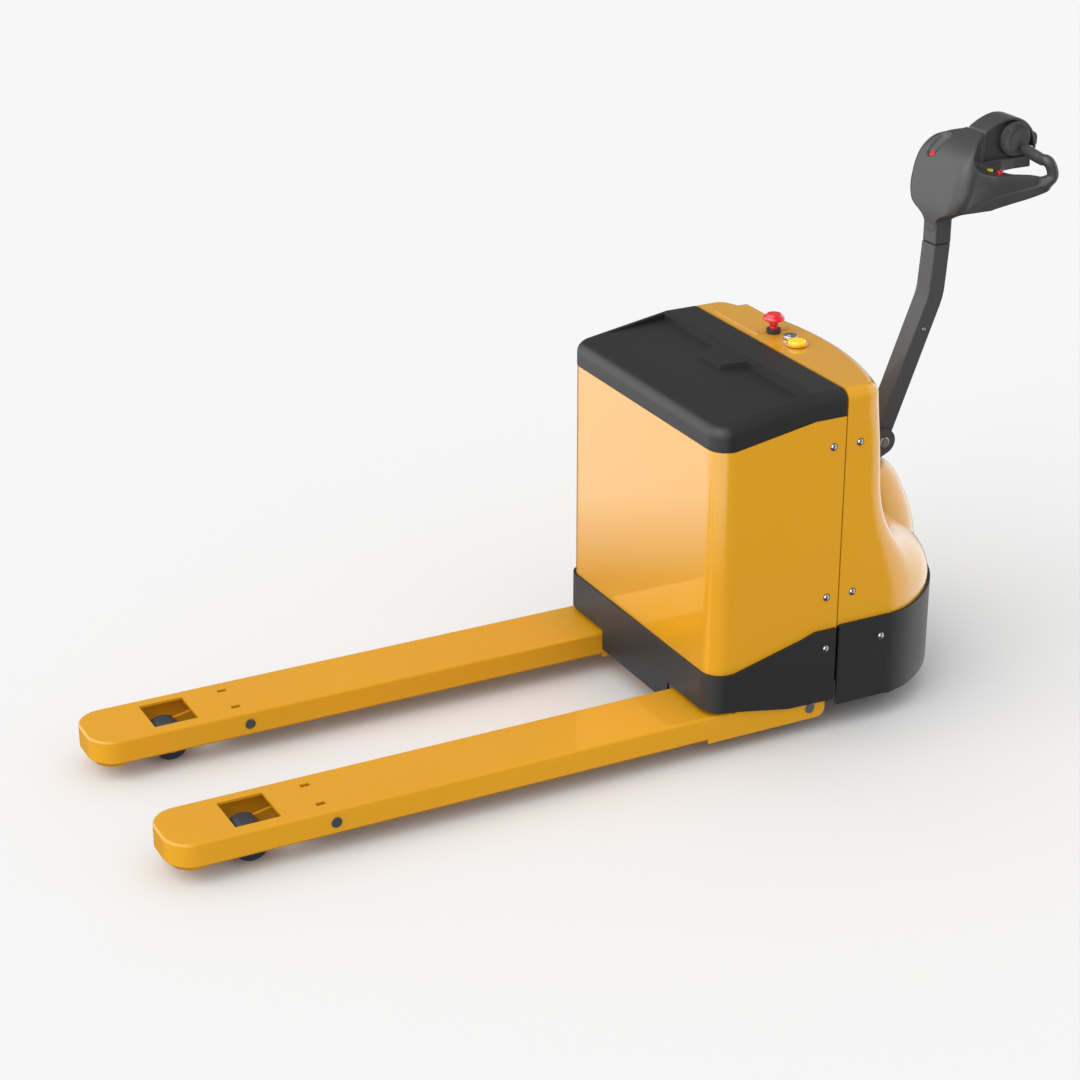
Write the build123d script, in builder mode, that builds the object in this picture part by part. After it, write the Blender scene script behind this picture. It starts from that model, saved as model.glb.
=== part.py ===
"""Electric pallet truck: forks and battery housing that lift on a drive unit steered by a tiller.

Frame: origin on the floor under the middle of the overall length, +X towards the fork tips,
+Z up. +Y is the left side of somebody who stands behind the tiller. Sizes are millimetres.
Everything is drawn with the forks lowered, the wheels straight and the tiller upright.
"""
from build123d import *
from math import asin, cos, degrees, hypot, radians, sin
import os

# Overall sizes
fork_length = 1283.0          # front cover face to the fork tips
front_length = 331.0          # front cover face to the seam: the part that lifts
rear_length = 418.0           # seam to the rear of the rear skirt
tiller_reach = 300.0          # rear skirt to the rearmost point of the tiller head
fork_spread = 676.0           # over the outer sides of the two forks
fork_width = 173.0
fork_top = 104.0              # top face of the lowered forks
fork_depth = 70.0
fork_plate = 6.0
lift_height = 100.0
cover_width = 684.0
cover_top = 840.0
skirt_proud = 7.0             # how far the skirts stand out from the covers
shell_wall = 4.0
seam_gap = 3.0

# Covers, skirts and lid
skirt_top = 265.0
skirt_front_top = 205.0
skirt_bottom = 64.0
cover_tail_z = 150.0          # the front cover's sides end here, behind the skirt
corner_radius = 45.0
edge_round = 26.0
upper_side = 76.0             # straight side of the rear cover behind the seam, above the flare
upper_corner = 46.0
upper_turn = 68.0
lid_gap = 2.0
lid_front_depth = 93.0        # lid's front edge below the plateau
lid_side_depth = 58.0         # lid's side edge below the plateau, at the seam
lid_plateau = 79.0            # flat stretch ahead of the seam
lid_fall = 41.0               # how much lower the lid's top is at its front
tray_setback = 95.0           # label tray: rear edge ahead of the seam
tray_length = 161.0
tray_half_width = 313.0
tray_depth = 14.0
tab_length = 55.0
tab_rear_half = 71.0
tab_front_half = 43.0
hinge_drop = 10.0
hinge_radius = 3.0

# Wheels and lifting linkage
drive_radius = 125.0
drive_width = 75.0
steer_setback = 165.0         # steering axis ahead of the rear of the skirt
caster_radius = 50.0
caster_width = 34.0
caster_trail = 25.0
caster_inset = 107.0          # caster swivels inside the side of the cover
caster_behind = 197.0         # caster swivels behind the seam
roller_radius = 41.0
roller_width = 74.0
arm_reach = 175.0             # load arm pivot to roller axle
arm_setback = 366.0           # load arm pivot behind the fork tips
arm_pivot_z = 75.0
arm_lever = 26.0
arm_plate = 8.0
heel_pivot_z = 66.0
heel_ahead = 61.0             # torsion shaft ahead of the seam
rear_lever = 160.0
rear_lever_rise = 45.0
rear_lever_y = 120.0
rear_lever_width = 20.0
slot_pin_radius = 9.0
shaft_radius = 15.0
rod_eye = 9.0
rod_radius = 8.0
rod_pin_radius = 6.0
rod_eye_gap = 0.15             # radial play of a rod's eye on its pin
pin_radius = 10.0
running_gap = 0.05            # radial clearance of each pin in its hole

# Tiller
tiller_setback = 65.0         # tiller pivot behind the steering axis
tiller_pivot_z = 555.0
tiller_width = 54.0
tiller_depth = 44.0
bend_back, bend_up = 135.0, 345.0     # bend of the arm from the pivot
joint_back, joint_up = 144.0, 468.0   # joint with the head from the pivot
ear_radius = 32.0
ear_plate = 11.0
head_half_width = 145.0
grip_radius = 13.0

# Controls on the rear cover
plate_length = 94.0
plate_half_width = 100.0
plate_y = -26.0
plate_thickness = 2.0
stop_radius = 25.0
lens_radius = 21.0
key_radius = 17.0
screw_radius = 6.5
screw_height = 4.0

# Places worked out from the sizes above
overall_length = fork_length + front_length + rear_length + tiller_reach
body_front = overall_length / 2 - fork_length
seam_x = body_front - front_length
rear_face = seam_x - rear_length
tip_x = body_front + fork_length
head_rear = rear_face - tiller_reach
cover_half = cover_width / 2
skirt_half = cover_half + skirt_proud
caster_offset = cover_half - caster_inset
fork_centre = (fork_spread - fork_width) / 2
fork_bottom = fork_top - fork_depth
fork_inner = fork_spread / 2 - fork_width
steer_x = rear_face + steer_setback
pivot_x = steer_x - tiller_setback
arm_x = tip_x - arm_setback
heel_x = seam_x + heel_ahead
sides = (("left", 1), ("right", -1))

flare_corner, flare_turn = 175.0, 28.0    # rounding of the rear skirt
stop_x, stop_y = seam_x - 60, -66.0
lens_x, lens_y = seam_x - 60, 36.0
key_x, key_y = seam_x - 74, -14.0
stop_neck, lens_neck, key_neck = 13.0, 12.0, 11.0    # radii of the holes under the controls

# The load arm swings so far that its roller stays on the floor at both ends of the lift.
arm_start = asin((arm_pivot_z - roller_radius) / arm_reach)
arm_end = asin((arm_pivot_z - roller_radius + lift_height) / arm_reach)
arm_swing = arm_end - arm_start
roller_x = arm_x + arm_reach * cos(arm_start)
lever_start = asin(rear_lever_rise / rear_lever)
lever_end = asin((rear_lever_rise - lift_height) / rear_lever)
lever_swing = lever_start - lever_end
rod_travel = 2 * arm_lever * sin(arm_swing / 2)
rod_lever = rod_travel / (2 * sin(lever_swing / 2))
arm_pin = (arm_x + arm_lever * sin(arm_swing / 2), arm_pivot_z - arm_lever * cos(arm_swing / 2))
rod_pin = (heel_x + rod_lever * sin(lever_swing / 2), heel_pivot_z + rod_lever * cos(lever_swing / 2))
slot_pin = (heel_x - rear_lever * cos(lever_start), heel_pivot_z + rear_lever_rise)
# The rods slide level while their pins swing, so each eye is a slot as tall as its pin's arc.
arm_pin_drop = arm_lever * (1 - cos(arm_swing / 2))
rod_pin_rise = rod_lever * (1 - cos(lever_swing / 2))


def save(piece, name):
    piece.label = name
    export_step(piece, f"parts/{name}.step")


def bar_y(radius, length, x, y, z):
    """A round bar along Y, centred on the point."""
    with BuildPart(Plane((x, y, z), x_dir=(1, 0, 0), z_dir=(0, 1, 0)), mode=Mode.PRIVATE) as bar:
        Cylinder(radius, length)
    return bar.part


def cap_screw(point, outward, radius=screw_radius, height=screw_height):
    """Button-head socket screw whose head stands on the point."""
    with BuildPart(Plane(origin=point, z_dir=outward), mode=Mode.PRIVATE) as screw:
        Cylinder(radius, height, align=(Align.CENTER, Align.CENTER, Align.MIN))
        fillet(screw.faces().sort_by(Axis(point, outward))[-1].edges(), height * 0.45)
        with BuildSketch(Plane(origin=point, z_dir=outward).offset(height)):
            RegularPolygon(radius * 0.45, 6)
        extrude(amount=-height * 0.6, mode=Mode.SUBTRACT)
    return screw.part


def side_end_for(rear, half, corner, turn):
    """Where a straight side ends so that the bowed outline reaches the given rear."""
    turn = radians(turn)
    bow = (half - corner * (1 - cos(turn))) / cos(turn)
    return rear + corner * sin(turn) + bow * (1 - sin(turn))


def rear_outline(half, side_end, corner, turn, inset=0.0):
    """Closed plan outline from the seam round a bowed rear and back to the seam."""
    half, corner, turn = half - inset, corner - inset, radians(turn)
    rear = (half - corner * (1 - cos(turn))) / cos(turn)
    front = seam_x - seam_gap
    with BuildLine(mode=Mode.PRIVATE) as outline:
        right_side = Line((front, -half), (side_end, -half))
        right_corner = JernArc(right_side @ 1, (-1, 0), corner, -degrees(turn))
        bow = JernArc(right_corner @ 1, (-cos(turn), sin(turn)), rear, 2 * degrees(turn) - 180)
        left_corner = JernArc(bow @ 1, (cos(turn), sin(turn)), corner, -degrees(turn))
        left_side = Line(left_corner @ 1, (front, half))
        Line(left_side @ 1, right_side @ 0)
    return outline.line


skirt_side_end = side_end_for(rear_face, skirt_half, flare_corner, flare_turn)


def rear_level(z, inset=0.0):
    """Outline of the rear cover at one height: tight corners above, a wide flare below."""
    rise = min(max((z - 280) / 320, 0), 1)
    upright = rise * rise * (3 - 2 * rise)
    lean = 21 * max(z - 600, 0) / 240
    flare = (1 - upright) ** 2
    side_end = skirt_side_end + (seam_x - upper_side - skirt_side_end) * upright + lean
    corner = upper_corner + (flare_corner - skirt_proud - upper_corner) * flare
    return rear_outline(cover_half, side_end, corner, upper_turn + (flare_turn - upper_turn) * flare, inset)


def stack(levels):
    """Loft through (height, outline) pairs."""
    with BuildPart(mode=Mode.PRIVATE) as filled:
        for z, outline in levels:
            with BuildSketch(Plane.XY.offset(z)):
                with BuildLine():
                    add(outline)
                make_face()
        loft()
    return filled.part


def rear_body(inset=0.0):
    """The rear cover's filled shape, with its top edge rounded except along the seam."""
    top, radius = cover_top - inset, edge_round - inset
    shoulder = top - radius
    walls = [(z, rear_level(z, inset)) for z in (skirt_top, 310, 355, 400, 450, 500, 560, 640, 740, shoulder)]
    round_over = []
    for degree in (0, 22, 45, 68, 90):
        z = shoulder + radius * sin(radians(degree))
        round_over.append((z, rear_level(z, inset + radius * (1 - cos(radians(degree))))))
    with BuildPart(mode=Mode.PRIVATE) as filled:
        add(stack(walls))
        add(stack(round_over))
    return filled.part


def front_plan(z, height, inset=0.0, out=0.0):
    """Filled plan of the front module: square at the seam, rounded at the front corners."""
    half = cover_half + out - inset
    length = front_length + out - inset
    with BuildPart(mode=Mode.PRIVATE) as filled:
        with BuildSketch(Plane.XY.offset(z)) as plan:
            with Locations((seam_x + length / 2, 0)):
                Rectangle(length, 2 * half)
            fillet(plan.vertices().group_by(Axis.X)[-1], corner_radius + out - inset)
        extrude(amount=height)
    return filled.part


def across(points, half_width):
    """Prism along Y over a side outline given as (x, z) points."""
    with BuildPart(mode=Mode.PRIVATE) as prism:
        with BuildSketch(Plane.XZ):
            with BuildLine():
                Polyline(*points, close=True)
            make_face()
        extrude(amount=half_width, both=True)
    return prism.part


os.makedirs("parts", exist_ok=True)

# ---------------------------------------------------------------- forks and their pins
heel_rear = seam_x + 19
window_ahead, window_length, window_width = 44.0, 104.0, 114.0
for side, s in sides:
    y = s * fork_centre
    channel_rear = body_front - 60
    with BuildPart() as fork:
        with BuildSketch(Plane.XY.offset(fork_bottom)) as plan:
            with Locations(((channel_rear + tip_x) / 2, y)):
                Rectangle(tip_x - channel_rear, fork_width)
            fillet(plan.vertices().group_by(Axis.X)[-1], fork_width * 0.36)
        extrude(amount=fork_depth)
        chamfer(fork.faces().sort_by(Axis.Z)[0].edges().filter_by(GeomType.LINE, reverse=True), 16)
        fillet(fork.faces().sort_by(Axis.Z)[-1].edges().group_by(Axis.X)[1:], 6)
        for plate_y in (y - fork_width / 2 + 6, y + fork_width / 2 - 6):
            with BuildSketch(Plane.XZ.offset(-plate_y)) as heel:
                with BuildLine():
                    Polyline((heel_rear, 38), (body_front, 38), (body_front, 98), (heel_rear, 110),
                             close=True)
                make_face()
                fillet(heel.vertices().group_by(Axis.X)[0], 22)
            extrude(amount=6, both=True)
        inner_length = tip_x - 70 - channel_rear + 10
        with Locations((channel_rear - 10, y, fork_bottom - 5)):
            Box(inner_length, fork_width - 2 * fork_plate, fork_depth - fork_plate + 5, mode=Mode.SUBTRACT,
                align=(Align.MIN, Align.CENTER, Align.MIN))
        with Locations((roller_x + window_ahead - window_length, y, fork_top - 20)):
            Box(window_length, window_width, 40, mode=Mode.SUBTRACT,
                align=(Align.MIN, Align.CENTER, Align.MIN))
        with Locations(*[(arm_x + 18, y + k * (roller_width / 2 + arm_plate), fork_top) for k in (-1, 1)]):
            Box(22, 12, 40, mode=Mode.SUBTRACT)
        add(bar_y(pin_radius, fork_width + 10, arm_x, y, arm_pivot_z), mode=Mode.SUBTRACT)
        add(bar_y(pin_radius, 40, heel_x, s * fork_spread / 2, heel_pivot_z), mode=Mode.SUBTRACT)
        add(bar_y(shaft_radius + running_gap, 60, heel_x, s * fork_inner, heel_pivot_z), mode=Mode.SUBTRACT)
    save(fork.part, f"{side}_fork")

with BuildPart() as linkage_pins:
    for side, s in sides:
        add(bar_y(pin_radius, fork_width, arm_x, s * fork_centre, arm_pivot_z))
        for k in (-1, 1):
            add(bar_y(pin_radius + 2, 3, arm_x, s * fork_centre + k * (fork_width / 2 + 1.5), arm_pivot_z))
        add(bar_y(pin_radius, 34, heel_x, s * (fork_spread / 2 - 17), heel_pivot_z))
        add(bar_y(pin_radius + 2, 3, heel_x, s * (fork_spread / 2 + 1.5), heel_pivot_z))
save(linkage_pins.part, "linkage_pins")

# ---------------------------------------------------------------- lift frame, battery and its tray
cylinder_x = seam_x - 56
lug_z = 560.0
frame_floor = 110.0
rear_plate = 8.0
rear_plate_height = cover_top - frame_floor - 50
with BuildPart() as heel_frame:
    with Locations((seam_x + 2, 0, frame_floor)):
        Box(front_length - 24, 2 * (cover_half - 12), 8, align=(Align.MIN, Align.CENTER, Align.MIN))
        Box(rear_plate, 2 * (cover_half - 24), rear_plate_height, align=(Align.MIN, Align.CENTER, Align.MIN))
    with BuildSketch(Plane.XY.offset(lug_z)) as lug:
        with Locations((cylinder_x, 0)):
            Circle(30)
        with Locations((seam_x + 4, 0)):
            Rectangle(4, 80)
        make_hull()
    extrude(amount=20)
save(heel_frame.part, "heel_frame")

tray_rear = seam_x + 14
tray_front = body_front - 22
tray_height = 570.0
tray_floor = frame_floor + 8
tray_wall = 3.0
tray_size = (tray_front - tray_rear, 2 * (cover_half - 16), tray_height)
with BuildPart() as battery_tray:
    with Locations((tray_rear, 0, tray_floor)):
        Box(*tray_size, align=(Align.MIN, Align.CENTER, Align.MIN))
    offset(amount=-tray_wall, openings=battery_tray.faces().sort_by(Axis.Z)[-1])
save(battery_tray.part, "battery_tray")

pack_top = tray_floor + tray_wall + 500
pack_x = (tray_rear + tray_front) / 2
with BuildPart() as battery_pack:
    with Locations((pack_x, 0, tray_floor + tray_wall)):
        Box(tray_size[0] - 12, tray_size[1] - 12, 500, align=(Align.CENTER, Align.CENTER, Align.MIN))
    with GridLocations(tray_size[0] / 2, tray_size[1] / 6, 2, 6):
        with Locations((pack_x, 0, pack_top)):
            Cylinder(15, 12, align=(Align.CENTER, Align.CENTER, Align.MIN))
save(battery_pack.part, "battery_pack")

with BuildPart() as battery_plug:
    with Locations((pack_x, 0, pack_top)):
        Box(92, 62, 34, align=(Align.CENTER, Align.CENTER, Align.MIN))
    fillet(battery_plug.edges().filter_by(Axis.Z), 8)
save(battery_plug.part, "battery_plug")

# ---------------------------------------------------------------- front cover, front skirt and lid
lid_front_edge = cover_top - lid_front_depth
lid_side_edge = cover_top - lid_side_depth
lid_under = [(seam_x - 20, lid_side_edge), (seam_x + 81, lid_side_edge),
             (body_front - 46, lid_front_edge), (body_front + 60, lid_front_edge)]
with BuildPart() as front_cover:
    add(front_plan(cover_tail_z, cover_top - cover_tail_z))
    add(front_plan(cover_tail_z, cover_top, inset=shell_wall).moved(Location((0, 0, -1))),
        mode=Mode.SUBTRACT)
    above = [(x, z - lid_gap) for x, z in lid_under] + [(body_front + 60, 900), (seam_x - 20, 900)]
    add(across(above, 400), mode=Mode.SUBTRACT)
save(front_cover.part, "front_cover")

fork_notch = 117.0
skirt_seam = seam_x + 4
with BuildPart() as front_skirt:
    add(front_plan(skirt_bottom, skirt_top - skirt_bottom, out=skirt_proud))
    add(front_plan(0, 400), mode=Mode.SUBTRACT)
    add(across([(body_front + 20, skirt_front_top), (body_front - 59, skirt_front_top),
                (seam_x + 94, skirt_top - 14), (seam_x + 60, skirt_top - 2), (seam_x - 20, skirt_top - 2),
                (seam_x - 20, 300), (body_front + 20, 300)], 400), mode=Mode.SUBTRACT)
    add(across([(skirt_seam, 0), (skirt_seam, 400), (seam_x - 20, 400), (seam_x - 20, 0)], 400),
        mode=Mode.SUBTRACT)
    with BuildPart(mode=Mode.PRIVATE) as beside:
        add(across([(body_front + 20, fork_notch), (body_front - 59, 110), (body_front - 204, 84),
                    (seam_x - 10, 80), (seam_x - 10, 0), (body_front + 20, 0)], 400))
        with Locations((0, 0, 0)):
            Box(3000, 2 * (fork_inner - 8), 400, mode=Mode.SUBTRACT)
    add(beside.part, mode=Mode.SUBTRACT)
save(front_skirt.part, "front_skirt")


def lid_block(inset):
    """Filled lid: flat by the seam, falling to the front, with rounded edges all round the top."""
    top = cover_top - inset
    front = body_front + 1 - inset
    low = cover_top - 200 if inset else 0
    under = lid_under[:3] + [(front + 20, lid_front_edge)]
    under = [(x, z - low) for x, z in under] if inset else under
    with BuildPart(mode=Mode.PRIVATE) as block:
        add(front_plan(cover_top - 300, 400, inset=inset, out=1))
        profile = under + [(front + 20, top - lid_fall - 4), (seam_x + lid_plateau, top),
                           (seam_x - 20, top)]
        add(across(profile, 400), mode=Mode.INTERSECT)
        upper = block.faces().filter_by(lambda f: f.normal_at().Z > 0.9 and f.center().Z > top - 60)
        rim = [e for f in upper for e in f.edges()]
        seam_edges = block.edges().filter_by(lambda e: abs(e.center().X - seam_x) < 0.5)
        kink = block.edges().filter_by(lambda e: abs(e.center().X - seam_x - lid_plateau) < 0.5
                                       and abs(e.center().Y) < 1)
        rim = [e for e in ShapeList(rim) if e not in seam_edges and e not in kink]
        fillet(rim, edge_round - inset)
    return block.part


def tray_block(grow):
    """The wedge-shaped label tray, deepest at its rear step, with the tab left standing."""
    rear = seam_x + tray_setback - grow
    front = rear + tray_length + grow
    slope = lid_fall / (front_length - lid_plateau)
    drop = (tray_setback - lid_plateau) * slope
    floor_rear = cover_top - drop - tray_depth - grow
    with BuildPart(mode=Mode.PRIVATE) as block:
        add(across([(rear, cover_top + 20), (rear, floor_rear),
                    (front, cover_top - (front - seam_x - lid_plateau) * slope - grow),
                    (front, cover_top + 20)], tray_half_width + grow))
        with BuildSketch(Plane.XY.offset(cover_top - 100)):
            with BuildLine():
                Polyline((rear - 5, -tab_rear_half + grow), (rear + tab_length, -tab_front_half + grow),
                         (rear + tab_length, tab_front_half - grow), (rear - 5, tab_rear_half - grow),
                         close=True)
            make_face()
        extrude(amount=200, mode=Mode.SUBTRACT)
    return block.part


hinge_x = seam_x + hinge_drop
hinge_z = cover_top - hinge_drop
lid_lugs = (-150.0, 150.0)
fixed_lugs = (-172.0, -128.0, 128.0, 172.0)
lug_width = 18.0
with BuildPart() as lid_void:
    add(lid_block(shell_wall))
    add(tray_block(shell_wall), mode=Mode.SUBTRACT)
with BuildPart() as battery_lid:
    add(lid_block(0))
    add(lid_void.part, mode=Mode.SUBTRACT)
    add(tray_block(0), mode=Mode.SUBTRACT)
    for y in lid_lugs:
        add(bar_y(hinge_drop - shell_wall, lug_width, hinge_x, y, hinge_z))
        with Locations((hinge_x, y, cover_top - shell_wall)):
            Box(10, lug_width, hinge_drop - shell_wall, align=(Align.CENTER, Align.CENTER, Align.MAX))
    rear_edge = battery_lid.edges().filter_by(Axis.Y).group_by(Axis.X)[0].sort_by(Axis.Z)[-1]
    fillet(rear_edge, 3)
    add(bar_y(hinge_radius + running_gap, 600, hinge_x, 0, hinge_z), mode=Mode.SUBTRACT)
save(battery_lid.part, "battery_lid")

with BuildPart() as lid_hinge:
    add(bar_y(hinge_radius, fixed_lugs[-1] * 2 + lug_width + 18, hinge_x, 0, hinge_z))
    for y in fixed_lugs:
        add(bar_y(5.5, lug_width, hinge_x, y, hinge_z))
        with Locations((hinge_x - 4, y, hinge_z)):
            Box(9.5, lug_width, hinge_z - frame_floor - rear_plate_height,
                align=(Align.MIN, Align.CENTER, Align.MAX))
save(lid_hinge.part, "lid_hinge")

front_screw_x = seam_x + 31
with BuildPart() as front_screws:
    for side, s in sides:
        for z in (712, 344):
            add(cap_screw((front_screw_x, s * cover_half, z), (0, s, 0)))
        add(cap_screw((front_screw_x, s * skirt_half, 217), (0, s, 0)))
save(front_screws.part, "front_screws")

with BuildPart() as lift_rod:
    with Locations((cylinder_x, 0, lug_z)):
        Cylinder(15, 260, align=(Align.CENTER, Align.CENTER, Align.MAX))
save(lift_rod.part, "lift_rod")

# ---------------------------------------------------------------- linkage under the forks
with BuildPart() as torsion_shaft:
    add(bar_y(shaft_radius, fork_spread - 26, heel_x, 0, heel_pivot_z))
    for s in (-1, 1):
        for k in (-1, 1):
            with BuildSketch(Plane.XZ.offset(-s * fork_centre - k * 16)):
                with Locations((heel_x, heel_pivot_z)):
                    Circle(shaft_radius + 4)
                with Locations(rod_pin):
                    Circle(rod_pin_radius + 4)
                make_hull()
            extrude(amount=4, both=True)
        add(bar_y(rod_pin_radius, 40, rod_pin[0], s * fork_centre, rod_pin[1]))
        with BuildSketch(Plane.XZ.offset(-s * rear_lever_y)):
            with Locations((heel_x, heel_pivot_z)):
                Circle(shaft_radius + 8)
            with Locations(slot_pin):
                Circle(slot_pin_radius + 5)
            make_hull()
        extrude(amount=rear_lever_width / 2, both=True)
        add(bar_y(slot_pin_radius, rear_lever_width + 24, slot_pin[0], s * rear_lever_y, slot_pin[1]))
        add(bar_y(pin_radius + running_gap, 80, heel_x, s * fork_spread / 2, heel_pivot_z),
            mode=Mode.SUBTRACT)
save(torsion_shaft.part, "torsion_shaft")

rod_length = hypot(rod_pin[0] - arm_pin[0], rod_pin[1] - arm_pin[1])
rod_middle = ((rod_pin[0] + arm_pin[0]) / 2, 0, (rod_pin[1] + arm_pin[1]) / 2)
rod_line = Plane(rod_middle, x_dir=(0, 1, 0), z_dir=(arm_pin[0] - rod_pin[0], 0, arm_pin[1] - rod_pin[1]))
with BuildPart() as pull_rods:
    with Locations(rod_line):
        with Locations(*[(s * fork_centre, 0, 0) for side, s in sides]):
            Cylinder(rod_radius, rod_length)
    for pin, drift in ((rod_pin, rod_pin_rise), (arm_pin, -arm_pin_drop)):
        for side, s in sides:
            with BuildSketch(Plane.XZ.offset(-s * fork_centre)):
                with Locations(pin, (pin[0], pin[1] + drift)):
                    Circle(rod_eye)
                make_hull()
            extrude(amount=9, both=True)
        with BuildSketch(Plane.XZ):
            with Locations(pin, (pin[0], pin[1] + drift)):
                Circle(rod_pin_radius + rod_eye_gap)
            make_hull()
        extrude(amount=fork_spread / 2, both=True, mode=Mode.SUBTRACT)
save(pull_rods.part, "pull_rods")

arm_plate_y = (roller_width + arm_plate) / 2 + 1
for side, s in sides:
    y = s * fork_centre
    with BuildPart() as load_arm:
        for k in (-1, 1):
            with BuildSketch(Plane.XZ.offset(-y - k * arm_plate_y)):
                with Locations((arm_x, arm_pivot_z)):
                    Circle(18)
                with Locations((roller_x, roller_radius)):
                    Circle(18)
                make_hull()
            extrude(amount=arm_plate / 2, both=True)
            with BuildSketch(Plane.XZ.offset(-y - k * arm_plate_y)):
                with Locations((arm_x, arm_pivot_z)):
                    Circle(18)
                with Locations(arm_pin):
                    Circle(rod_pin_radius + 4)
                make_hull()
            extrude(amount=arm_plate / 2, both=True)
        add(bar_y(rod_pin_radius, 2 * arm_plate_y, arm_pin[0], y, arm_pin[1]))
        tie = (arm_x + 0.42 * (roller_x - arm_x), arm_pivot_z + 0.42 * (roller_radius - arm_pivot_z))
        add(bar_y(9, 2 * arm_plate_y, tie[0], y, tie[1]))
        add(bar_y(pin_radius + running_gap, fork_width, arm_x, y, arm_pivot_z), mode=Mode.SUBTRACT)
        add(bar_y(pin_radius, fork_width, roller_x, y, roller_radius), mode=Mode.SUBTRACT)
    save(load_arm.part, f"{side}_load_arm")
    with BuildPart() as load_roller:
        add(bar_y(roller_radius, roller_width, roller_x, y, roller_radius))
        chamfer(load_roller.edges().filter_by(GeomType.CIRCLE), 3)
        add(bar_y(pin_radius + running_gap, fork_width, roller_x, y, roller_radius), mode=Mode.SUBTRACT)
    save(load_roller.part, f"{side}_load_roller")

with BuildPart() as roller_axles:
    for side, s in sides:
        add(bar_y(pin_radius, 2 * arm_plate_y + arm_plate, roller_x, s * fork_centre, roller_radius))
save(roller_axles.part, "roller_axles")

# ---------------------------------------------------------------- drive unit frame
deck_z, deck_plate = 288.0, 12.0
bulkhead_x = seam_x - 16
caster_x = seam_x - caster_behind
neck_radius = 80.0
slot_plate_y = rear_lever_width / 2 + 6
with BuildPart() as drive_chassis:
    with Locations((bulkhead_x, 0, frame_floor)):
        Box(8, 2 * (cover_half - 24), cover_top - frame_floor - 60,
            align=(Align.MAX, Align.CENTER, Align.MIN))
    with BuildSketch(Plane.XY.offset(deck_z)):
        with BuildLine():
            add(rear_outline(cover_half, skirt_side_end, flare_corner - skirt_proud, flare_turn, inset=24))
        make_face()
    extrude(amount=deck_plate)
    with Locations((bulkhead_x, 0, deck_z + deck_plate / 2)):
        Box(20, 2 * cover_half, 2 * deck_plate, mode=Mode.SUBTRACT,
            align=(Align.MIN, Align.CENTER, Align.CENTER))
    for s in (-1, 1):
        with Locations((bulkhead_x, s * (cover_half - 40), 150)):
            Box(205, 8, deck_z - 150, align=(Align.MAX, Align.CENTER, Align.MIN))
        with Locations((bulkhead_x, s * (caster_offset + 4), 150)):
            Box(225, 130, 10, align=(Align.MAX, Align.CENTER, Align.MIN))
        with Locations((caster_x, s * caster_offset, 150)):
            Cylinder(24, 14, align=(Align.CENTER, Align.CENTER, Align.MAX))
        for k in (-1, 1):
            with Locations((bulkhead_x, s * rear_lever_y + k * slot_plate_y, slot_pin[1])):
                Box(120, 6, 50, align=(Align.MAX, Align.CENTER, Align.CENTER))
    for s in (-1, 1):
        with Locations((bulkhead_x, s * rear_lever_y, 60)):
            Box(40, rear_lever_width + 6, 170, mode=Mode.SUBTRACT,
                align=(Align.CENTER, Align.CENTER, Align.MIN))
        slot_half = slot_pin_radius + 2
        with BuildSketch(Plane.XZ.offset(-s * rear_lever_y)):
            with Locations((slot_pin[0] - 2, slot_pin[1])):
                SlotOverall(2 * slot_half + 22, 2 * slot_half)
        extrude(amount=30, both=True, mode=Mode.SUBTRACT)
        with Locations((caster_x, s * caster_offset, 100)):
            Cylinder(12 + running_gap, 200, mode=Mode.SUBTRACT)
    with Locations((steer_x, 0, deck_z)):
        Cylinder(neck_radius + 6, 100, mode=Mode.SUBTRACT)
    with Locations((bulkhead_x, 0, lug_z - 15)):
        Box(60, 110, lift_height + 60, mode=Mode.SUBTRACT, align=(Align.CENTER, Align.CENTER, Align.MIN))
    with Locations((bulkhead_x - 8, 0, frame_floor)):
        Box(64, 80, 12, align=(Align.MAX, Align.CENTER, Align.MIN))
    with Locations((cylinder_x, 0, deck_z)):
        Cylinder(30, 100, mode=Mode.SUBTRACT)
save(drive_chassis.part, "drive_chassis")

with BuildPart() as lift_cylinder:
    with Locations((cylinder_x, 0, frame_floor + 12)):
        Cylinder(28, 360, align=(Align.CENTER, Align.CENTER, Align.MIN))
    with Locations((cylinder_x, 0, lug_z - 262 - 2)):
        Cylinder(15 + running_gap, 400, mode=Mode.SUBTRACT, align=(Align.CENTER, Align.CENTER, Align.MIN))
save(lift_cylinder.part, "lift_cylinder")

deck_top = deck_z + deck_plate
bay_x = bulkhead_x - 62
with BuildPart() as pump_motor:
    with Locations((bay_x, 190, deck_top)):
        Cylinder(52, 165, align=(Align.CENTER, Align.CENTER, Align.MIN))
    fillet(pump_motor.edges().sort_by(Axis.Z)[-1], 8)
save(pump_motor.part, "pump_motor")
with BuildPart() as oil_tank:
    with Locations((bulkhead_x - 10, cover_half - 152, deck_top + 168)):
        Box(92, 190, 160, align=(Align.MAX, Align.CENTER, Align.MIN))
    fillet(oil_tank.edges().filter_by(Axis.Z), 14)
save(oil_tank.part, "oil_tank")
with BuildPart() as motor_controller:
    with Locations((bulkhead_x - 8, -180, 430)):
        Box(56, 190, 220, align=(Align.MAX, Align.CENTER, Align.MIN))
    with GridLocations(0, 24, 1, 8):
        with Locations((bulkhead_x - 64, -180, 430)):
            Box(10, 4, 220, align=(Align.MAX, Align.CENTER, Align.MIN))
save(motor_controller.part, "motor_controller")
with BuildPart() as line_contactor:
    with Locations((bulkhead_x - 50, -180, deck_top)):
        Cylinder(30, 74, align=(Align.CENTER, Align.CENTER, Align.MIN))
        Box(74, 74, 12, align=(Align.CENTER, Align.CENTER, Align.MIN))
save(line_contactor.part, "line_contactor")
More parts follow.
